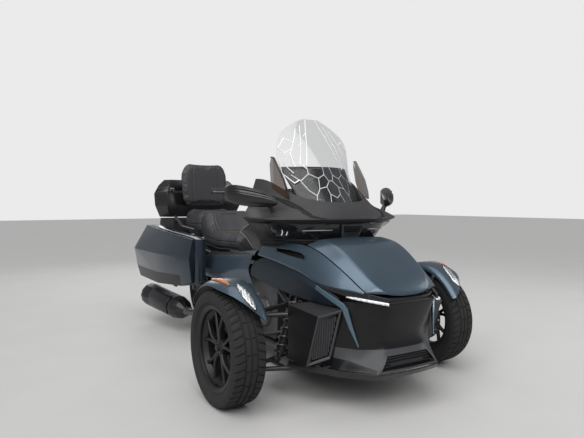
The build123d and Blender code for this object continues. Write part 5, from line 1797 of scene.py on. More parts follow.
@dataclass
class Mirrors:
    """The two ribbed mirrors on their arms."""

    # each row: y, middle x, middle z, depth and height of the housing
    rows: tuple[tuple[float, float, float, float, float], ...] = (
        (384, -38, 982, 30, 20), (388, -42, 984, 58, 42), (408, -64, 990, 88, 66), (440, -100, 1002, 112, 90),
        (480, -146, 1012, 118, 104), (520, -190, 1022, 118, 110), (548, -228, 1030, 98, 104),
        (565, -252, 1035, 70, 86), (571, -260, 1036, 44, 54),
    )
    # each row: forward and upward shares of the section's points
    section: tuple[Pair, ...] = (
        (0.5, -0.05), (0.485, 0.07), (0.42, 0.11), (0.40, 0.22), (0.31, 0.26), (0.27, 0.37), (0.16, 0.40),
        (0.06, 0.5), (-0.2, 0.48), (-0.48, 0.42), (-0.54, 0.34), (-0.54, -0.3), (-0.48, -0.4), (-0.2, -0.5),
        (0.1, -0.48), (0.36, -0.32), (0.46, -0.2),
    )

    def mirror(self, side: Side) -> None:
        """One mirror's housing, ribs, glass, arm and boot.

        Args:
            side: the side of the vehicle.
        """
        rows = [[(x + deep * u, y, z + tall * v) for u, v in self.section] for y, x, z, deep, tall in self.rows]
        bar(side.lines(rows)).piece("mirror_housing_" + side.word, GLOSS, nodes=side.first("mirrors"), smooth=80,
                                    rounds=2)
        ribs = BMeshPiece()
        for u, v in ((0.44, 0.12), (0.335, 0.295), (0.19, 0.405)):
            ribs.tube(side.line([(x + deep * u, y, z + tall * v) for y, x, z, deep, tall in self.rows[2:8]]),
                      (1.2, 2.6, 3.2, 3.2, 2.6, 1.2), 10)
        ribs.piece("mirror_ribs_" + side.word, GLOSS, smooth=60)
        rows = [[(x - deep * u, y, z + tall * v) for u, v in ((0.545, 0.33), (0.55, 0.0), (0.545, -0.29))]
                for y, x, z, deep, tall in self.rows[3:7]]
        BMeshPiece().loft(side.lines(rows)).crease(amount=0.6).piece("mirror_glass_" + side.word, MIRROR, rounds=2,
                                                                     wall=2.0, offset=0.0)
        arm = [(-70, 366, 905), (-74, 376, 930), (-78, 390, 952), (-80, 404, 968), (-84, 418, 982)]
        BMeshPiece().tube(side.line(arm), (22, 17, 14, 14, 17), 20, flat=0.8).piece(
            "mirror_arm_" + side.word, SATIN, smooth=40)
        boot = [(-69, 362, 897), (-71, 369, 909), (-72, 372, 915)]
        BMeshPiece().tube(side.line(boot), (30, 27, 21), 24).piece("mirror_boot_" + side.word, BLACK, smooth=30)

    def build(self, frame: dict) -> None:
        """Build both mirrors."""
        both(self.mirror)
        LOG.info("mirrors: housings, glasses and arms")


@dataclass
class Cockpit:
    """The dash, console, sills, side panels, handlebar, levers, grips and footboards."""

    # each row: x and top height of the console
    console_rows: tuple[Pair, ...] = ((-337, 876), (-420, 892), (-520, 899), (-610, 886), (-690, 866), (-780, 829),
                                      (-870, 788), (-959, 751))
    # each row: x, then y and z down the side panel
    panel_rows: tuple[tuple[float, tuple[Pair, ...]], ...] = (
        (-560, ((250, 664), (262, 645), (283, 572), (274, 530), (252, 480))),
        (-700, ((252, 651), (266, 632), (286, 560), (276, 520), (253, 468))),
        (-860, ((256, 636), (270, 616), (289, 540), (279, 500), (253, 450))),
        (-1000, ((262, 622), (274, 602), (290, 520), (280, 482), (254, 437))),
        (-1220, ((267, 609), (276, 590), (288, 520), (279, 484), (252, 445))),
        (-1440, ((272, 596), (278, 580), (286, 520), (278, 490), (250, 452))),
    )

    def dash(self) -> None:
        """The dash with its hood, display, bezel and vents."""
        outline = [(-134, 802), (-154, 998), (-172, 1040), (-200, 1060), (-226, 1064), (-242, 1057), (-262, 1010),
                   (-300, 930), (-328, 806)]
        bar([[(-230 + (x + 230) * shrink, y, 930 + (z - 930) * shrink) for x, z in outline] for y, shrink in (
            (-224, 0.93), (-214, 0.98), (-150, 1.0), (-60, 1.0), (60, 1.0), (150, 1.0), (214, 0.98), (224, 0.93))]
            ).piece("dash_body", BLACK, nodes=("console",), edge=4.0, segments=3)

        def rounded(wide: float, tall: float, cut: float, out: float) -> list[Point]:
            """The corners of a rectangle with cut corners on the tilted face that looks at the rider."""
            w, t = wide / 2, tall / 2
            flat = [(-w, -t + cut), (-w + cut, -t), (w - cut, -t), (w, -t + cut), (w, t - cut), (w - cut, t),
                    (-w + cut, t), (-w, t - cut)]
            return [(-280 + 0.42 * up - 0.91 * out, across, 998 + 0.91 * up + 0.42 * out) for across, up in flat]

        bezel = BMeshPiece().plate(rounded(252, 116, 16, -4), (-0.91 * 12, 0, 0.42 * 12))
        front = min(bezel.bm.faces, key=lambda f: f.calc_center_median().x)
        bmesh.ops.inset_region(bezel.bm, faces=[front], thickness=0.009, depth=-0.004)
        bezel.piece("display_bezel", GLOSS, smooth=30, edge=1.5)
        BMeshPiece().plate(rounded(230, 94, 10, 3.5), (-0.91 * 2, 0, 0.42 * 2)).piece(
            "display_glass", DISPLAY, smooth=30)
        vents = BMeshPiece()
        for side in Side:
            for i in range(5):
                x, y, z = -318 + i * 4.5, side.value * 176, 842 + i * 13
                vents.loft([[(x - 4, end, z), (x + 6, end, z + 3), (x + 6, end, z + 6), (x - 4, end, z + 3)]
                            for end in (y - 30, y + 30)], closed=True, capped=True)
        vents.piece("dash_vents", SATIN, smooth=30)

    def console(self) -> None:
        """The console, its raised middle, knee pads and stem boot."""
        bar([whole_width([(x, y, z) for y, z in ((0, top), (52, top - 1), (96, top - 8), (128, top - 26),
                                                 (147, top - 60), (149, 700), (149, 602))])
             for x, top in self.console_rows]).piece("console_body", BLACK, smooth=40, edge=3.0)
        rows = []
        for x, top in self.console_rows[2:]:
            wide = 46 - (x + 690) * 0.02
            rows.append(whole_width([(x - 4, 0, top + 6), (x - 4, wide - 6, top + 4), (x - 4, wide, top - 3)]))
        bar(rows).piece("console_cap", SATIN, smooth=40, edge=2.0)
        outline = [(-560, 148, 690), (-560, 148, 812), (-620, 148, 820), (-760, 148, 772), (-880, 148, 726),
                   (-880, 148, 680), (-700, 148, 672)]
        for side in Side:
            BMeshPiece().plate(side.line(outline), (0, side.value * 6, 0)).soften(4.0, 3).piece(
                "knee_pad_" + side.word, KNEE, smooth=40)
        boot = BMeshPiece()
        axis = Vector((-0.42, 0.0, 0.91)).normalized()
        for radius, tube, rise in ((33, 7, -6), (29, 6, 1), (25.5, 4.5, 8)):
            path = []
            for i in range(28):
                turn = i * math.tau / 28
                out = Vector((axis.z, 0.0, -axis.x)) * math.cos(turn) + Vector((0.0, 1.0, 0.0)) * math.sin(turn)
                path.append(tuple(Vector((-611.0, 0.0, 884.0)) + axis * rise + out * radius))
            boot.tube(path, tube, 8, closed=True)
        boot.piece("stem_boot", GRIP, smooth=60)

    def panel(self, side: Side) -> None:
        """The painted side panel, and the dark sill between it and the saddle.

        Args:
            side: the side of the vehicle.
        """
        sheet = BMeshPiece().loft(side.lines([(x, y, z) for y, z in line] for x, line in self.panel_rows))
        sheet.crease(lambda a, b: abs(a.x - b.x) > 20 and 515 < a.z < 575 and abs(a.y) > 282, 0.7).crease()
        sheet.reverse_if(sheet.bm.faces[:][0].normal.y * side.value < 0).piece(
            "side_panel_" + side.word, BLUE, nodes=side.first("side_panels"), smooth=60, rounds=3, wall=4.0, edge=1.2)
        # each row: x, then y and z from the panel's edge in under the saddle
        rows = ((-562, ((243, 652), (224, 680), (190, 692), (150, 702))),
                (-760, ((249, 632), (230, 658), (192, 666), (150, 672))),
                (-960, ((256, 612), (238, 636), (196, 639), (150, 641))),
                (-1180, ((260, 594), (240, 624), (198, 631), (150, 633))),
                (-1270, ((262, 588), (242, 622), (198, 631), (150, 633))))
        sill = BMeshPiece().loft(side.lines([(x, y, z) for y, z in line] for x, line in rows))
        sill.reverse_if(sill.bm.faces[:][0].normal.z < 0).piece("seat_sill_" + side.word, SATIN, smooth=50, wall=4.0,
                                                                edge=1.5)

    def bar_end(self, side: Side) -> None:
        """One end of the handlebar: grip, lever and switches.

        Args:
            side: the side of the vehicle.
        """
        s = side.value
        start, end = Vector((-744.0, s * 326.0, 1056.0)), Vector((-797.0, s * 418.0, 1059.0))
        # each row: share of the length and radius of the grip
        steps = [(0.0, 21), (0.03, 21), (0.04, 17)]
        for i in range(12):
            steps += [(0.08 + i * 0.068, 18), (0.10 + i * 0.068, 17), (0.13 + i * 0.068, 17)]
        steps += [(0.95, 18), (0.96, 20), (1.02, 20.5), (1.06, 19), (1.075, 14)]
        BMeshPiece().rod(start, end - start, steps, 24).piece(
            "grip_" + side.word, GRIP, body="steering_bar", nodes=side.first("grips"), smooth=40)
        lever = [(-716, 306, 1050), (-700, 322, 1050), (-698, 340, 1049), (-712, 372, 1047), (-732, 408, 1047),
                 (-744, 430, 1048), (-748, 438, 1049)]
        BMeshPiece().tube(side.line(lever), (8, 8, 7, 5.5, 5.5, 6.5, 4), 12, flat=1.4).piece(
            "lever_" + side.word, TUBE, body="steering_bar", smooth=50)
        keys = BMeshPiece()
        for dx, dz, radius in ((-14, 14, 6), (-4, -2, 5), (8, 12, 4.5)):
            x, y, z = -756 + dx * 0.5, 314 + dx, 1062 + dz * 0.6
            keys.tube(side.line([(x, y, z), (x - 14, y + 8, z + 10)]), (radius, radius * 0.9), 12)
        keys.piece("switch_keys_" + side.word, GREY, body="steering_bar", smooth=40)

    def board(self, side: Side) -> None:
        """A footboard with its brackets and rubber ribs.

        Args:
            side: the side of the vehicle.
        """
        outline = [(-860, 276), (-850, 264), (-612, 264), (-602, 276), (-602, 392), (-618, 418), (-842, 418),
                   (-860, 400)]
        board = BMeshPiece().plate(side.line([(x, y, 238) for x, y in outline]), (0, 0, 12)).soften(2.5, 3)
        for x in (-820, -640):
            board.tube(side.line([(x, 280, 241), (x, 262, 226), (x, 236, 176), (x, 230, 160)]), (11, 10, 9, 9), 12)
        board.piece("footboard_" + side.word, TUBE, nodes=side.first("footboards"), smooth=40)
        ribs = BMeshPiece()
        for y in range(274, 401, 18):
            ribs.slab((-846, -616), (side.value * y, side.value * (y + 9)), 249.5, 3.5)
        ribs.soften(1.2).piece("board_ribs_" + side.word, GRIP, smooth=40)

    def build(self, frame: dict) -> None:
        """Build the cockpit.

        Args:
            frame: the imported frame's data.
        """
        self.dash()
        self.console()
        both(self.panel)
        polish(frame, "handlebar", TUBE, 2.0)
        both(self.bar_end, self.board)
        LOG.info("cockpit: dash, console, panels, bars and boards")


# Luggage

@dataclass
class Panniers:
    """Both panniers: the fixed half, the opening half, hinges, latch and lower belt."""

    # each row: x, inner y, top y and z, widest y and z, bottom y and z
    levels: tuple[tuple[float, ...], ...] = (
        (-1085, 342, 440, 730, 468, 600, 448, 432), (-1200, 335, 452, 742, 500, 600, 478, 400),
        (-1640, 335, 452, 765, 536, 600, 500, 368), (-2120, 335, 440, 795, 540, 600, 495, 372),
        (-2225, 342, 425, 740, 520, 600, 490, 440),
    )
    split: float = 420.0
    gap: float = 3.0
    wall: float = 4.0
    hinge: Pair = (421.5, 364.0)
    hinge_at: Pair = (-1830.0, -1480.0)

    def half(self, name: str, body: str, rows: list[list[Point]], nodes: Sequence[str]) -> None:
        """One half of a case from open sections, with its two ends closed.

        Args:
            name: the piece's name.
            body: the body that it rides on.
            rows: the sections, from front to rear.
            nodes: the CAD nodes that it replaces.
        """
        sheet = BMeshPiece()
        sheet.bridge([sheet.ring(row) for row in rows], capped=True)
        middle = sum((f.calc_center_median() for f in sheet.bm.faces), Vector()) / len(sheet.bm.faces)
        ends = [f for f in sheet.bm.faces if len(f.verts) > 4]
        sheet.reverse_if(bool(ends) and (ends[0].calc_center_median() - middle).dot(ends[0].normal) < 0)
        if len(rows[0]) > 5:
            paint([f for f in sheet.pick(lambda m: m.z < 0.45) if len(f.verts) == 4], 1)
        # the panniers' blue is the body paint darkened as painted shade
        made = sheet.piece(name, SHADED_PANNIER_BLUE, SATIN, body=body, nodes=nodes, smooth=30, edge=3.0, segments=3)
        thicken(made, self.wall)

    def knuckles(self, side: Side) -> None:
        """The hinge knuckles of both halves along the lower seam.

        Args:
            side: the side of the vehicle.
        """
        s = side.value
        y, z = s * self.hinge[0], self.hinge[1]
        fixed, moving = BMeshPiece(), BMeshPiece()
        for x in self.hinge_at:
            for low, high in ((x - 28, x - 11), (x + 11, x + 28)):
                fixed.tube([(low, y, z), (high, y, z)], 8, 20)
                fixed.slab((low, high), (y - s, y - s * 8), z, 24)
            fixed.tube([(x - 30, y, z), (x + 30, y, z)], 4, 14)
            moving.tube([(x - 10, y, z), (x + 10, y, z)], 8, 20)
            moving.slab((x - 10, x + 10), (y + s * 2, y + s * 8), z, 22)
        fixed.piece("pannier_knuckles_" + side.word, STEEL, smooth=40, edge=0.8)
        moving.piece("lid_knuckles_" + side.word, STEEL, body="pannier_cover_" + side.word, smooth=40, edge=0.8)

    def pannier(self, side: Side) -> None:
        """One pannier: both halves, hinges, latch and seal.

        Args:
            side: the side of the vehicle.
        """
        lid, shell, seal = [], [], []
        edge, cover = self.split + self.gap, "pannier_cover_" + side.word
        for x, inner, ty, tz, my, mz, ly, lz in self.levels:
            lid.append([(x, edge, tz), (x, max(ty, edge + 1), tz), (x, my, mz),
                        (x, my + (ly - my) * 0.62, mz + (lz - mz) * 0.62), (x, ly, lz), (x, edge, lz)])
            shell.append([(x, self.split, tz), (x, inner, tz), (x, inner, lz), (x, self.split, lz)])
            seal.append([(x, 418.5, tz - 2), (x, 422.5, tz - 2), (x, 422.5, tz - 7), (x, 418.5, tz - 7)])
        self.half("pannier_cover_skin_" + side.word, cover, side.lines(lid), ("pannier_lid_" + side.word,))
        self.half("pannier_box_" + side.word, "chassis", side.lines(shell), side.first("panniers"))
        self.knuckles(side)
        latch = [(-1590, 428, 762), (-1590, 446, 762), (-1700, 446, 767), (-1700, 428, 767)]
        BMeshPiece().plate(side.line(latch), (0, 0, 7)).soften(2.5, 3).piece(
            "pannier_latch_" + side.word, GLOSS, body=cover, smooth=40)
        bar(side.lines(seal)).piece("pannier_seal_" + side.word, GRIP, smooth=40)

    def build(self, frame: dict) -> None:
        """Build both panniers."""
        both(self.pannier)
        LOG.info("luggage: panniers")


@dataclass
class TopCase:
    """The top case: its lower shell and its lid, cut from one form along a falling plane."""

    # each row: height, then half the plan from the front centre to the rear centre
    levels: tuple[tuple[float, tuple[Pair, ...]], ...] = (
        (862, ((-1992, 0), (-1990, 200), (-1965, 300), (-2080, 345), (-2215, 280), (-2235, 0))),
        (960, ((-1990, 0), (-1988, 215), (-1920, 330), (-2060, 392), (-2232, 330), (-2253, 0))),
        (1060, ((-1990, 0), (-1988, 215), (-1925, 330), (-2060, 400), (-2232, 335), (-2253, 0))),
        (1130, ((-2028, 0), (-2026, 196), (-1990, 296), (-2076, 356), (-2216, 300), (-2233, 0))),
        (1180, ((-2062, 0), (-2060, 170), (-2040, 260), (-2090, 300), (-2190, 260), (-2205, 0))),
    )
    front: Pair = (-1850.0, 1128.0)
    rear: Pair = (-2300.0, 1003.0)
    hinge: Pair = (-1955.0, 1098.0)

    def cut(self, lid: bool) -> BMeshPiece:
        """The lower shell or the lid, cut from the whole form.

        Args:
            lid: whether it is the lid.

        Returns:
            The half.
        """
        whole = bar([Side.RIGHT.line([(x, y, z) for x, y in half]) + [(x, y, z) for x, y in half[-2:0:-1]]
                     for z, half in self.levels])
        normal = Vector((self.front[1] - self.rear[1], 0.0, self.rear[0] - self.front[0])).normalized() * -1
        bmesh.ops.bisect_plane(whole.bm, geom=whole.bm.verts[:] + whole.bm.edges[:] + whole.bm.faces[:],
                               plane_co=at(self.front[0], 0, self.front[1] + (3.0 if lid else 0.0)),
                               plane_no=normal, clear_outer=not lid, clear_inner=lid)
        return whole

    def build(self, frame: dict) -> None:
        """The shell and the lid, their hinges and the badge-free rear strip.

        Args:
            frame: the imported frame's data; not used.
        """
        shell, lid = self.cut(False), self.cut(True)
        wings = shell.pick(lambda m: m.x > -1.165 and abs(m.y) > 0.335 and m.z > 0.95)
        bmesh.ops.inset_individual(shell.bm, faces=wings, thickness=0.012, depth=-0.005)
        tops = [f for f in lid.bm.faces if f.normal.z > 0.95]
        bmesh.ops.inset_region(lid.bm, faces=tops, thickness=0.022, depth=-0.003)
        for sheet, faces, name, body, node in ((shell, wings, "top_case_shell", "chassis", "top_case"),
                                               (lid, tops, "top_case_cover", "case_cover", "top_case_lid")):
            paint(faces, 1)
            thicken(sheet.piece(name, GLOSS, SATIN, body=body, nodes=(node,), smooth=32, edge=5.0, segments=3), 4.0)
        x, z = self.hinge
        fixed, moving = BMeshPiece(), BMeshPiece()
        for low, high in ((-298, -262), (262, 298)):
            third = (high - low) / 3
            for a, b in ((low, low + third), (high - third, high)):
                fixed.tube([(x, a, z), (x, b, z)], 8, 20)
                fixed.slab((x - 20, x + 4), (a, b), z - 18, 13)
            fixed.tube([(x, low, z), (x, high, z)], 4, 14)
            a, b = low + third + 1, high - third - 1
            moving.tube([(x, a, z), (x, b, z)], 8, 20)
            moving.slab((x - 30, x - 4), (a, b), z + 1, 8)
        fixed.piece("top_case_ears", STEEL, smooth=40, edge=0.8)
        moving.piece("top_case_knuckles", STEEL, body="case_cover", smooth=40, edge=0.8)
        path = whole_width([(-2253, 0, 989), (-2247, 200, 988), (-2229, 318, 986)])
        BMeshPiece().tube(path, (4, 7, 8, 7, 4), 10, flat=0.7).piece("top_case_rear_strip", RED_LAMP, smooth=50)
        LOG.info("luggage: top case")


# Tail and running gear

@dataclass
class RunningGear:
    """Exhaust, springs, engine covers, frame and tail."""

    spring_wire: float = 6.0

    def spring(self, name: str, foot: Point, head: Point, coils: float, nodes: Sequence[str] = (),
               coil_r: float = 29.0) -> None:
        """One coil-over unit: eyes, damper body, collars and a wound spring.

        Args:
            name: how its pieces' names begin; the middle is filled in.
            foot: the lower eye.
            head: the upper eye.
            coils: turns of the spring.
            nodes: the CAD nodes that it replaces.
            coil_r: the spring's middle radius.
        """
        low, high = Vector(foot), Vector(head)
        axis = (high - low).normalized()
        length = (high - low).length
        side = axis.cross(Vector((1.0, 0.0, 0.0))).normalized()
        front = axis.cross(side)
        damper = BMeshPiece()
        # each row: length up from the foot and radius
        steps = [(0, 11), (14, 14), (26, 16), (34, 18), (35, coil_r + 5), (41, coil_r + 5), (43, 25),
                 (length * 0.52, 25), (length * 0.53, 11), (length - 66, 11), (length - 65, coil_r + 4),
                 (length - 57, coil_r + 5), (length - 54, 22), (length - 30, 18), (length - 12, 12), (length, 11)]
        damper.rod(low, axis, steps, 20)
        for end in (low, high):
            damper.rod(end, Vector((1.0, 0.0, 0.0)), ((-14, 12), (14, 12)), 18)
        turns = int(coils * 18)
        path = []
        for i in range(turns + 1):
            turn = i / 18 * math.tau
            rise = 46 + (length - 66 - 50) * i / turns
            path.append(tuple(low + axis * rise + (side * math.cos(turn) + front * math.sin(turn)) * coil_r))
        BMeshPiece().tube(path, self.spring_wire, 8).piece(name.format("shock") + "_spring", SPRING, smooth=60)
        damper.piece(name.format("damper"), TUBE, nodes=nodes, edge=0.8)

    def exhaust(self) -> None:
        """The pipe, its clamp and the facetted silencer with its end cap."""
        front, rear = Vector((-1430.0, -352.0, 176.0)), Vector((-2085.0, -418.0, 214.0))
        axis = (rear - front).normalized()
        length = (rear - front).length
        # each row: length back from the front and radius
        steps = [(0, 30), (6, 33), (44, 66), (58, 72), (84, 80), (120, 85), (126, 87), (140, 87), (146, 85),
                 (length - 96, 89), (length - 84, 91.5), (length - 12, 92), (length - 2, 90), (length, 84)]
        can = BMeshPiece().rod(front, axis, steps, 12).piece("silencer_can", SILENCER, nodes=("exhaust",), smooth=24)
        ease_edges(can, 3.0, 3, 20.0)
        cap = BMeshPiece().rod(rear, axis, ((-3, 80), (3, 78), (5, 66)), 36)
        for angle in (40, 200):
            out = Vector((0.0, math.cos(math.radians(angle)), math.sin(math.radians(angle)))) * 30
            cap.rod(rear + out, axis, ((0, 22), (9, 22), (9.2, 17), (2, 17)), 24)
        cap.piece("silencer_cap", GLOSS, edge=1.0)
        route = [(-760, -168, 320), (-760, -230, 320), (-764, -262, 318), (-784, -284, 312), (-820, -294, 302),
                 (-1000, -308, 246), (-1140, -324, 202), (-1200, -331, 188), (-1260, -336, 183), (-1340, -343, 179),
                 (-1428, -352, 176)]
        BMeshPiece().tube(route, 24, 24).piece("exhaust_pipe", PIPE, smooth=60)
        BMeshPiece().rod(front, axis, ((-22, 26), (-20, 30), (-4, 30), (-2, 26)), 24).piece("pipe_clamp", STEEL)
        rows = []
        for t in (160, 170, 330, 480, 490):
            x, y, z = front + axis * t
            radius = 85 + t * 0.011 + (3.5 if 165 < t < 485 else 1.0)
            rows.append([(x, y - radius * math.cos(turn), z + radius * math.sin(turn))
                         for turn in map(math.radians, (-40, -24, 0, 24, 48, 66))])
        BMeshPiece().loft(rows).piece("heat_shield", SATIN, smooth=50, wall=3.0, offset=0.0)

    def engine(self, frame: dict) -> None:
        """The engine block with round side covers, bolts and ribs.

        Args:
            frame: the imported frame's data.
        """
        polish(frame, "engine", CASE_METAL, 6.0)
        # each row: the covers' middle in x and z, and their radius
        for side, spots in ((Side.RIGHT, ((-560, 300, 92), (-880, 330, 38))),
                            (Side.LEFT, ((-600, 310, 104), (-820, 250, 58)))):
            s, cover = side.value, BMeshPiece()
            for x, z, radius in spots:
                # each row: share of the radius and distance out
                steps = ((0.42, 188), (0.46, 184), (0.86, 184), (0.92, 182), (0.95, 176), (1, 175), (1, 166))
                cover.spun([(0.01, s * 188)] + [(radius * share, s * out) for share, out in steps], (x, 0, z), 48)
                for i in range(8):
                    turn = i * math.tau / 8
                    cx, cz = x + radius * 0.94 * math.cos(turn), z + radius * 0.94 * math.sin(turn)
                    cover.tube([(cx, s * 172, cz), (cx, s * 180, cz)], 5, 6)
            cover.piece("engine_covers_" + side.word, CAST, edge=1.0)
        fins = BMeshPiece()
        for z in range(380, 501, 15):
            fins.slab((-408, -396), (-120, 120), z, 4)
        fins.piece("engine_fins", CASE_METAL, smooth=30)

    def build(self, frame: dict) -> None:
        """Build the running gear and polish what stays of the CAD.

        Args:
            frame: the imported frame's data.
        """
        for side in Side:
            self.spring("front_{}_" + side.word, (0, side.value * 400, 174), (0, side.value * 244, 578), 7,
                        side.first("shocks"))
        self.spring("rear_{}", (-1284, 0, 360), (-1166, 0, 556), 4)
        self.exhaust()
        self.engine(frame)
        for node, finish, width in (
                ("frame_right", TUBE, 0.0), ("frame_left", TUBE, 0.0), ("cross_bars", TUBE, 0.0),
                ("wishbones", TUBE, 0.0), ("swingarm", TUBE, 3.0), ("tie_rods", STEEL, 0.0),
                ("belly_pan", BLACK, 1.5), ("tail_body", BLACK, 3.0), ("tail_lamps", RED_LAMP, 2.0),
                ("grab_handles", TUBE, 0.0)):
            polish(frame, node, finish, width)
        plate = [(-2153, -92, 474), (-2153, 92, 474), (-2190, 92, 619), (-2190, -92, 619)]
        BMeshPiece().plate(plate, (-1.6, 0, -0.4)).soften(0.6).piece("bare_plate", PLATE, smooth=40)
        LOG.info("running gear: shocks, exhaust, engine, frame and tail")


# Seats

@dataclass
class Upholstery:
    """Saddle, passenger's seat and backrest: stuffed forms, then sewn seams and stitches."""

    # each row: x, half width, bottom, top at the edge and top at the middle
    saddle: tuple[tuple[float, ...], ...] = (
        (-974, 96, 668, 716, 718), (-986, 120, 662, 734, 735), (-1030, 140, 656, 745, 743), (-1100, 162, 655, 744, 736),
        (-1180, 194, 655, 744, 733), (-1260, 202, 656, 746, 735), (-1320, 205, 658, 766, 746),
        (-1365, 205, 664, 806, 784), (-1410, 204, 672, 848, 830), (-1450, 199, 682, 882, 876),
        (-1486, 197, 694, 900, 899), (-1508, 190, 702, 900, 899), (-1517, 172, 712, 888, 890),
    )
    passenger: tuple[tuple[float, ...], ...] = (
        (-1546, 176, 734, 880, 878), (-1552, 194, 730, 896, 892), (-1590, 207, 728, 900, 892),
        (-1680, 211, 728, 898, 882), (-1780, 211, 740, 900, 884), (-1830, 204, 752, 908, 898),
        (-1864, 190, 764, 914, 910), (-1873, 172, 770, 906, 906),
    )
    # each row: height, half width, front x and rear x
    backrest: tuple[tuple[float, ...], ...] = (
        (966, 132, -1904, -1938), (974, 156, -1899, -1942), (1010, 180, -1898, -1946), (1080, 190, -1903, -1950),
        (1160, 195, -1910, -1955), (1220, 190, -1915, -1959), (1270, 170, -1921, -1961), (1292, 150, -1925, -1960),
        (1300, 128, -1930, -1956),
    )
    voxel: float = 0.0075
    pressure: float = 4.0
    swell: float = 0.013
    frames: int = 16
    seam: Pair = (4.2, 4.6)

    def loop(self, wide: float, low: float, edge: float, middle: float) -> list[Pair]:
        """One row's section as (y, z), from the bottom centre round both flanks.

        Args:
            wide: half width.
            low: the bottom's height.
            edge: the top's height at the edge.
            middle: the top's height at the middle.

        Returns:
            The section's points.
        """
        tall = edge - low
        half = [(0.55 * wide, low), (0.86 * wide, low + 4), (wide, low + 0.3 * tall), (0.99 * wide, low + 0.62 * tall),
                (0.94 * wide, edge - 0.12 * tall), (0.8 * wide, edge), (0.52 * wide, (edge + middle * 2) / 3),
                (0.25 * wide, middle)]
        return [(0, low)] + half + [(0, middle)] + [(-y, z) for y, z in reversed(half)]

    def upright(self, z: float, wide: float, front: float, rear: float) -> list[Point]:
        """One row of the backrest, a rounded bar from side to side.

        Args:
            z: the row's height.
            wide: half width.
            front: the front's x.
            rear: the rear's x.

        Returns:
            The row's points.
        """
        half = [(0.5, front), (0.84, front - 1), (0.97, front - 9), (1.0, (front + rear) / 2), (0.97, rear + 8),
                (0.84, rear), (0.5, rear)]
        return ([(front, 0.0, z)] + [(x, wide * t, z) for t, x in half] + [(rear, 0.0, z)]
                + [(x, -wide * t, z) for t, x in reversed(half)])

    def stuff(self, piece: bpy.types.Object, node: str) -> None:
        """Even out a form's mesh, fill it as cloth, smooth it once and bring it to its solid's size.

        Args:
            piece: the cushion's form.
            node: the CAD node whose box it fills.
        """
        grid = piece.modifiers.new("even", "REMESH")
        grid.mode, grid.voxel_size = "VOXEL", self.voxel
        settle(piece)
        rest = [(v.co.copy(), v.normal.z) for v in piece.data.vertices]
        cloth = piece.modifiers.new("stuffing", "CLOTH").settings
        cloth.use_pressure, cloth.uniform_pressure_force = True, self.pressure
        cloth.effector_weights.gravity = 0.0
        for step in range(1, self.frames + 1):
            bpy.context.scene.frame_set(step)
        settle(piece)
        bpy.context.scene.frame_set(1)
        for vert, (spot, up) in zip(piece.data.vertices, rest):
            move = vert.co - spot
            if up < -0.6:
                move.z = 0.0
            vert.co = spot + move.normalized() * min(move.length, self.swell)
        subdivide(piece, 1)
        settle(piece)
        low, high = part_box(node)
        spots = [v.co for v in piece.data.vertices]
        for axis in range(3):
            start, end = min(s[axis] for s in spots), max(s[axis] for s in spots)
            grow = (high[axis] - low[axis]) / (end - start)
            for spot in spots:
                spot[axis] = low[axis] + (spot[axis] - start) * grow

    def sew(self, name: str, piece: bpy.types.Object, lines: Sequence[Sequence[Point]], thread: Finish,
            stitched: float = 5.0) -> None:
        """Press seams into a cushion and run a row of stitches beside each.

        Args:
            name: the stitches' name.
            piece: the cushion.
            lines: the seams, drawn near the surface, in millimetres.
            thread: the stitches' finish.
            stitched: how far beside the seam the stitches run.
        """
        surface = BVHTree.FromObject(piece, bpy.context.evaluated_depsgraph_get())
        tracks = []
        for line in lines:
            spots = [at(*p) for p in line]
            track = []
            for first, second in zip(spots, spots[1:]):
                count = max(1, round((second - first).length / 0.0025))
                track += [surface.find_nearest(first.lerp(second, i / count))[:2] for i in range(count)]
            tracks.append(track)
        spots = [spot for track in tracks for spot, _ in track]
        tree = KDTree(len(spots))
        for i, spot in enumerate(spots):
            tree.insert(spot, i)
        tree.balance()
        width, depth = (v / 1000 for v in self.seam)
        facing = [vert.normal.copy() for vert in piece.data.vertices]
        for vert, normal in zip(piece.data.vertices, facing):
            away = tree.find(vert.co)[2]
            if away < width * 3:
                vert.co -= normal * depth * math.exp(-((away / width) ** 2))
        sewn = BMeshPiece()
        for (a, up), (b, _) in (pair for track in tracks for pair in zip(track[::3], track[1::3])):
            along = (b - a).normalized()
            beside = along.cross(up) * (stitched if a.y > 0 else -stitched) / 1000
            place = Matrix.Translation((a + b) / 2 + beside) @ along.to_track_quat("Z", "Y").to_matrix().to_4x4()
            bmesh.ops.create_icosphere(sewn.bm, subdivisions=1, radius=0.0007,
                                       matrix=place @ Matrix.Diagonal((1.0, 1.0, 3.6, 1.0)))
        sewn.piece(name, thread, smooth=180)

    def front_panel(self, piece: bpy.types.Object, bolster: Sequence[Point]) -> None:
        """Give the saddle's front, between its two bolsters, the other vinyl.

        Args:
            piece: the saddle's cushion.
            bolster: the seam that parts the two vinyls.
        """
        edge = [at(*p) for p in bolster]
        for face in piece.data.polygons:
            spot = face.center
            a, b = next(((a, b) for a, b in zip(edge, edge[1:]) if a.x >= spot.x >= b.x), (edge[0], edge[0]))
            share = (spot.x - a.x) / (b.x - a.x or 1.0)
            inside = abs(spot.y) < abs(a.y + (b.y - a.y) * share)
            face.material_index = int(inside and spot.x > at(-1335, 0, 0).x and face.normal.z > 0.1)

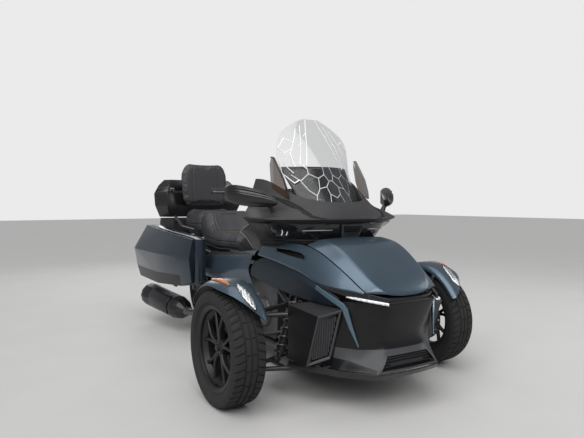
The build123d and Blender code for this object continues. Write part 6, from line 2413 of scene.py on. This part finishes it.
    def build(self, frame: dict) -> None:
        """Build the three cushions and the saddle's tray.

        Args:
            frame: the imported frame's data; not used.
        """
        forms = (
            ("saddle_cushion", "driver_seat", [[(x, y, z) for y, z in self.loop(*r)] for x, *r in self.saddle]),
            ("passenger_cushion", "passenger_seat",
             [[(x, y, z) for y, z in self.loop(*r)] for x, *r in self.passenger]),
            ("backrest_cushion", "backrest", [self.upright(*r) for r in self.backrest]),
        )
        # seams of the right half, in the order of the forms
        bolster = [(-990, -82, 742), (-1060, -96, 750), (-1140, -104, 746), (-1240, -122, 746), (-1310, -140, 760),
                   (-1360, -148, 800), (-1410, -144, 846), (-1450, -130, 880), (-1478, -112, 904)]
        seams = (
            (bolster, [(-1336, 0, 764), (-1334, -70, 762), (-1326, -143, 770)],
             [(-986, -126, 700), (-1100, -170, 704), (-1240, -208, 706), (-1400, -210, 724), (-1490, -192, 745)]),
            ([(-1560, -120, 885), (-1620, -140, 890), (-1740, -146, 886), (-1850, -130, 910)],
             [(-1556, -166, 812), (-1620, -208, 812), (-1780, -214, 816), (-1862, -186, 826)]),
            ([(-1890, -112, 975), (-1896, -118, 1100), (-1910, -116, 1230), (-1922, -100, 1298)],),
        )
        for (name, node, rows), lines in zip(forms, seams):
            made = bar(rows).piece(name, SEAT, SEAT_FRONT, nodes=(node,), smooth=180)
            self.stuff(made, node)
            self.sew(name.replace("cushion", "stitches"), made, [*lines, *Side.RIGHT.lines(lines)], THREAD)
            if node == "driver_seat":
                self.front_panel(made, bolster)
                self.sew("lumbar_stitches", made, [[(-1440, y, 884) for y in (-64, -32, 0, 32, 64)]], PALE_THREAD, 0.0)
        outline = [(-972, 104), (-1080, 158), (-1200, 196), (-1400, 203), (-1500, 180), (-1524, 150)]
        half = [(x, y, 643 + max(0.0, -1300 - x) * 0.18) for x, y in outline]
        tray = BMeshPiece().plate(Side.RIGHT.line(half) + half[::-1], (0, 0, 11)).soften(3.0)
        tray.piece("saddle_tray", BLACK, smooth=40)
        LOG.info("seats: saddle, passenger's seat and backrest")


def main() -> None:
    """Build the studio and every sub-assembly, in order."""
    logging.basicConfig(level=logging.INFO, format="%(message)s")
    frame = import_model()
    Studio().build()
    for assembly in (Upholstery(), Nose(), Fairing(), Screen(), *wheels(), RearDrive(), Mudguards(), Mirrors(),
                     Cockpit(), Panniers(), TopCase(), RunningGear()):
        assembly.build(frame)


if __name__ == "__main__":
    main()
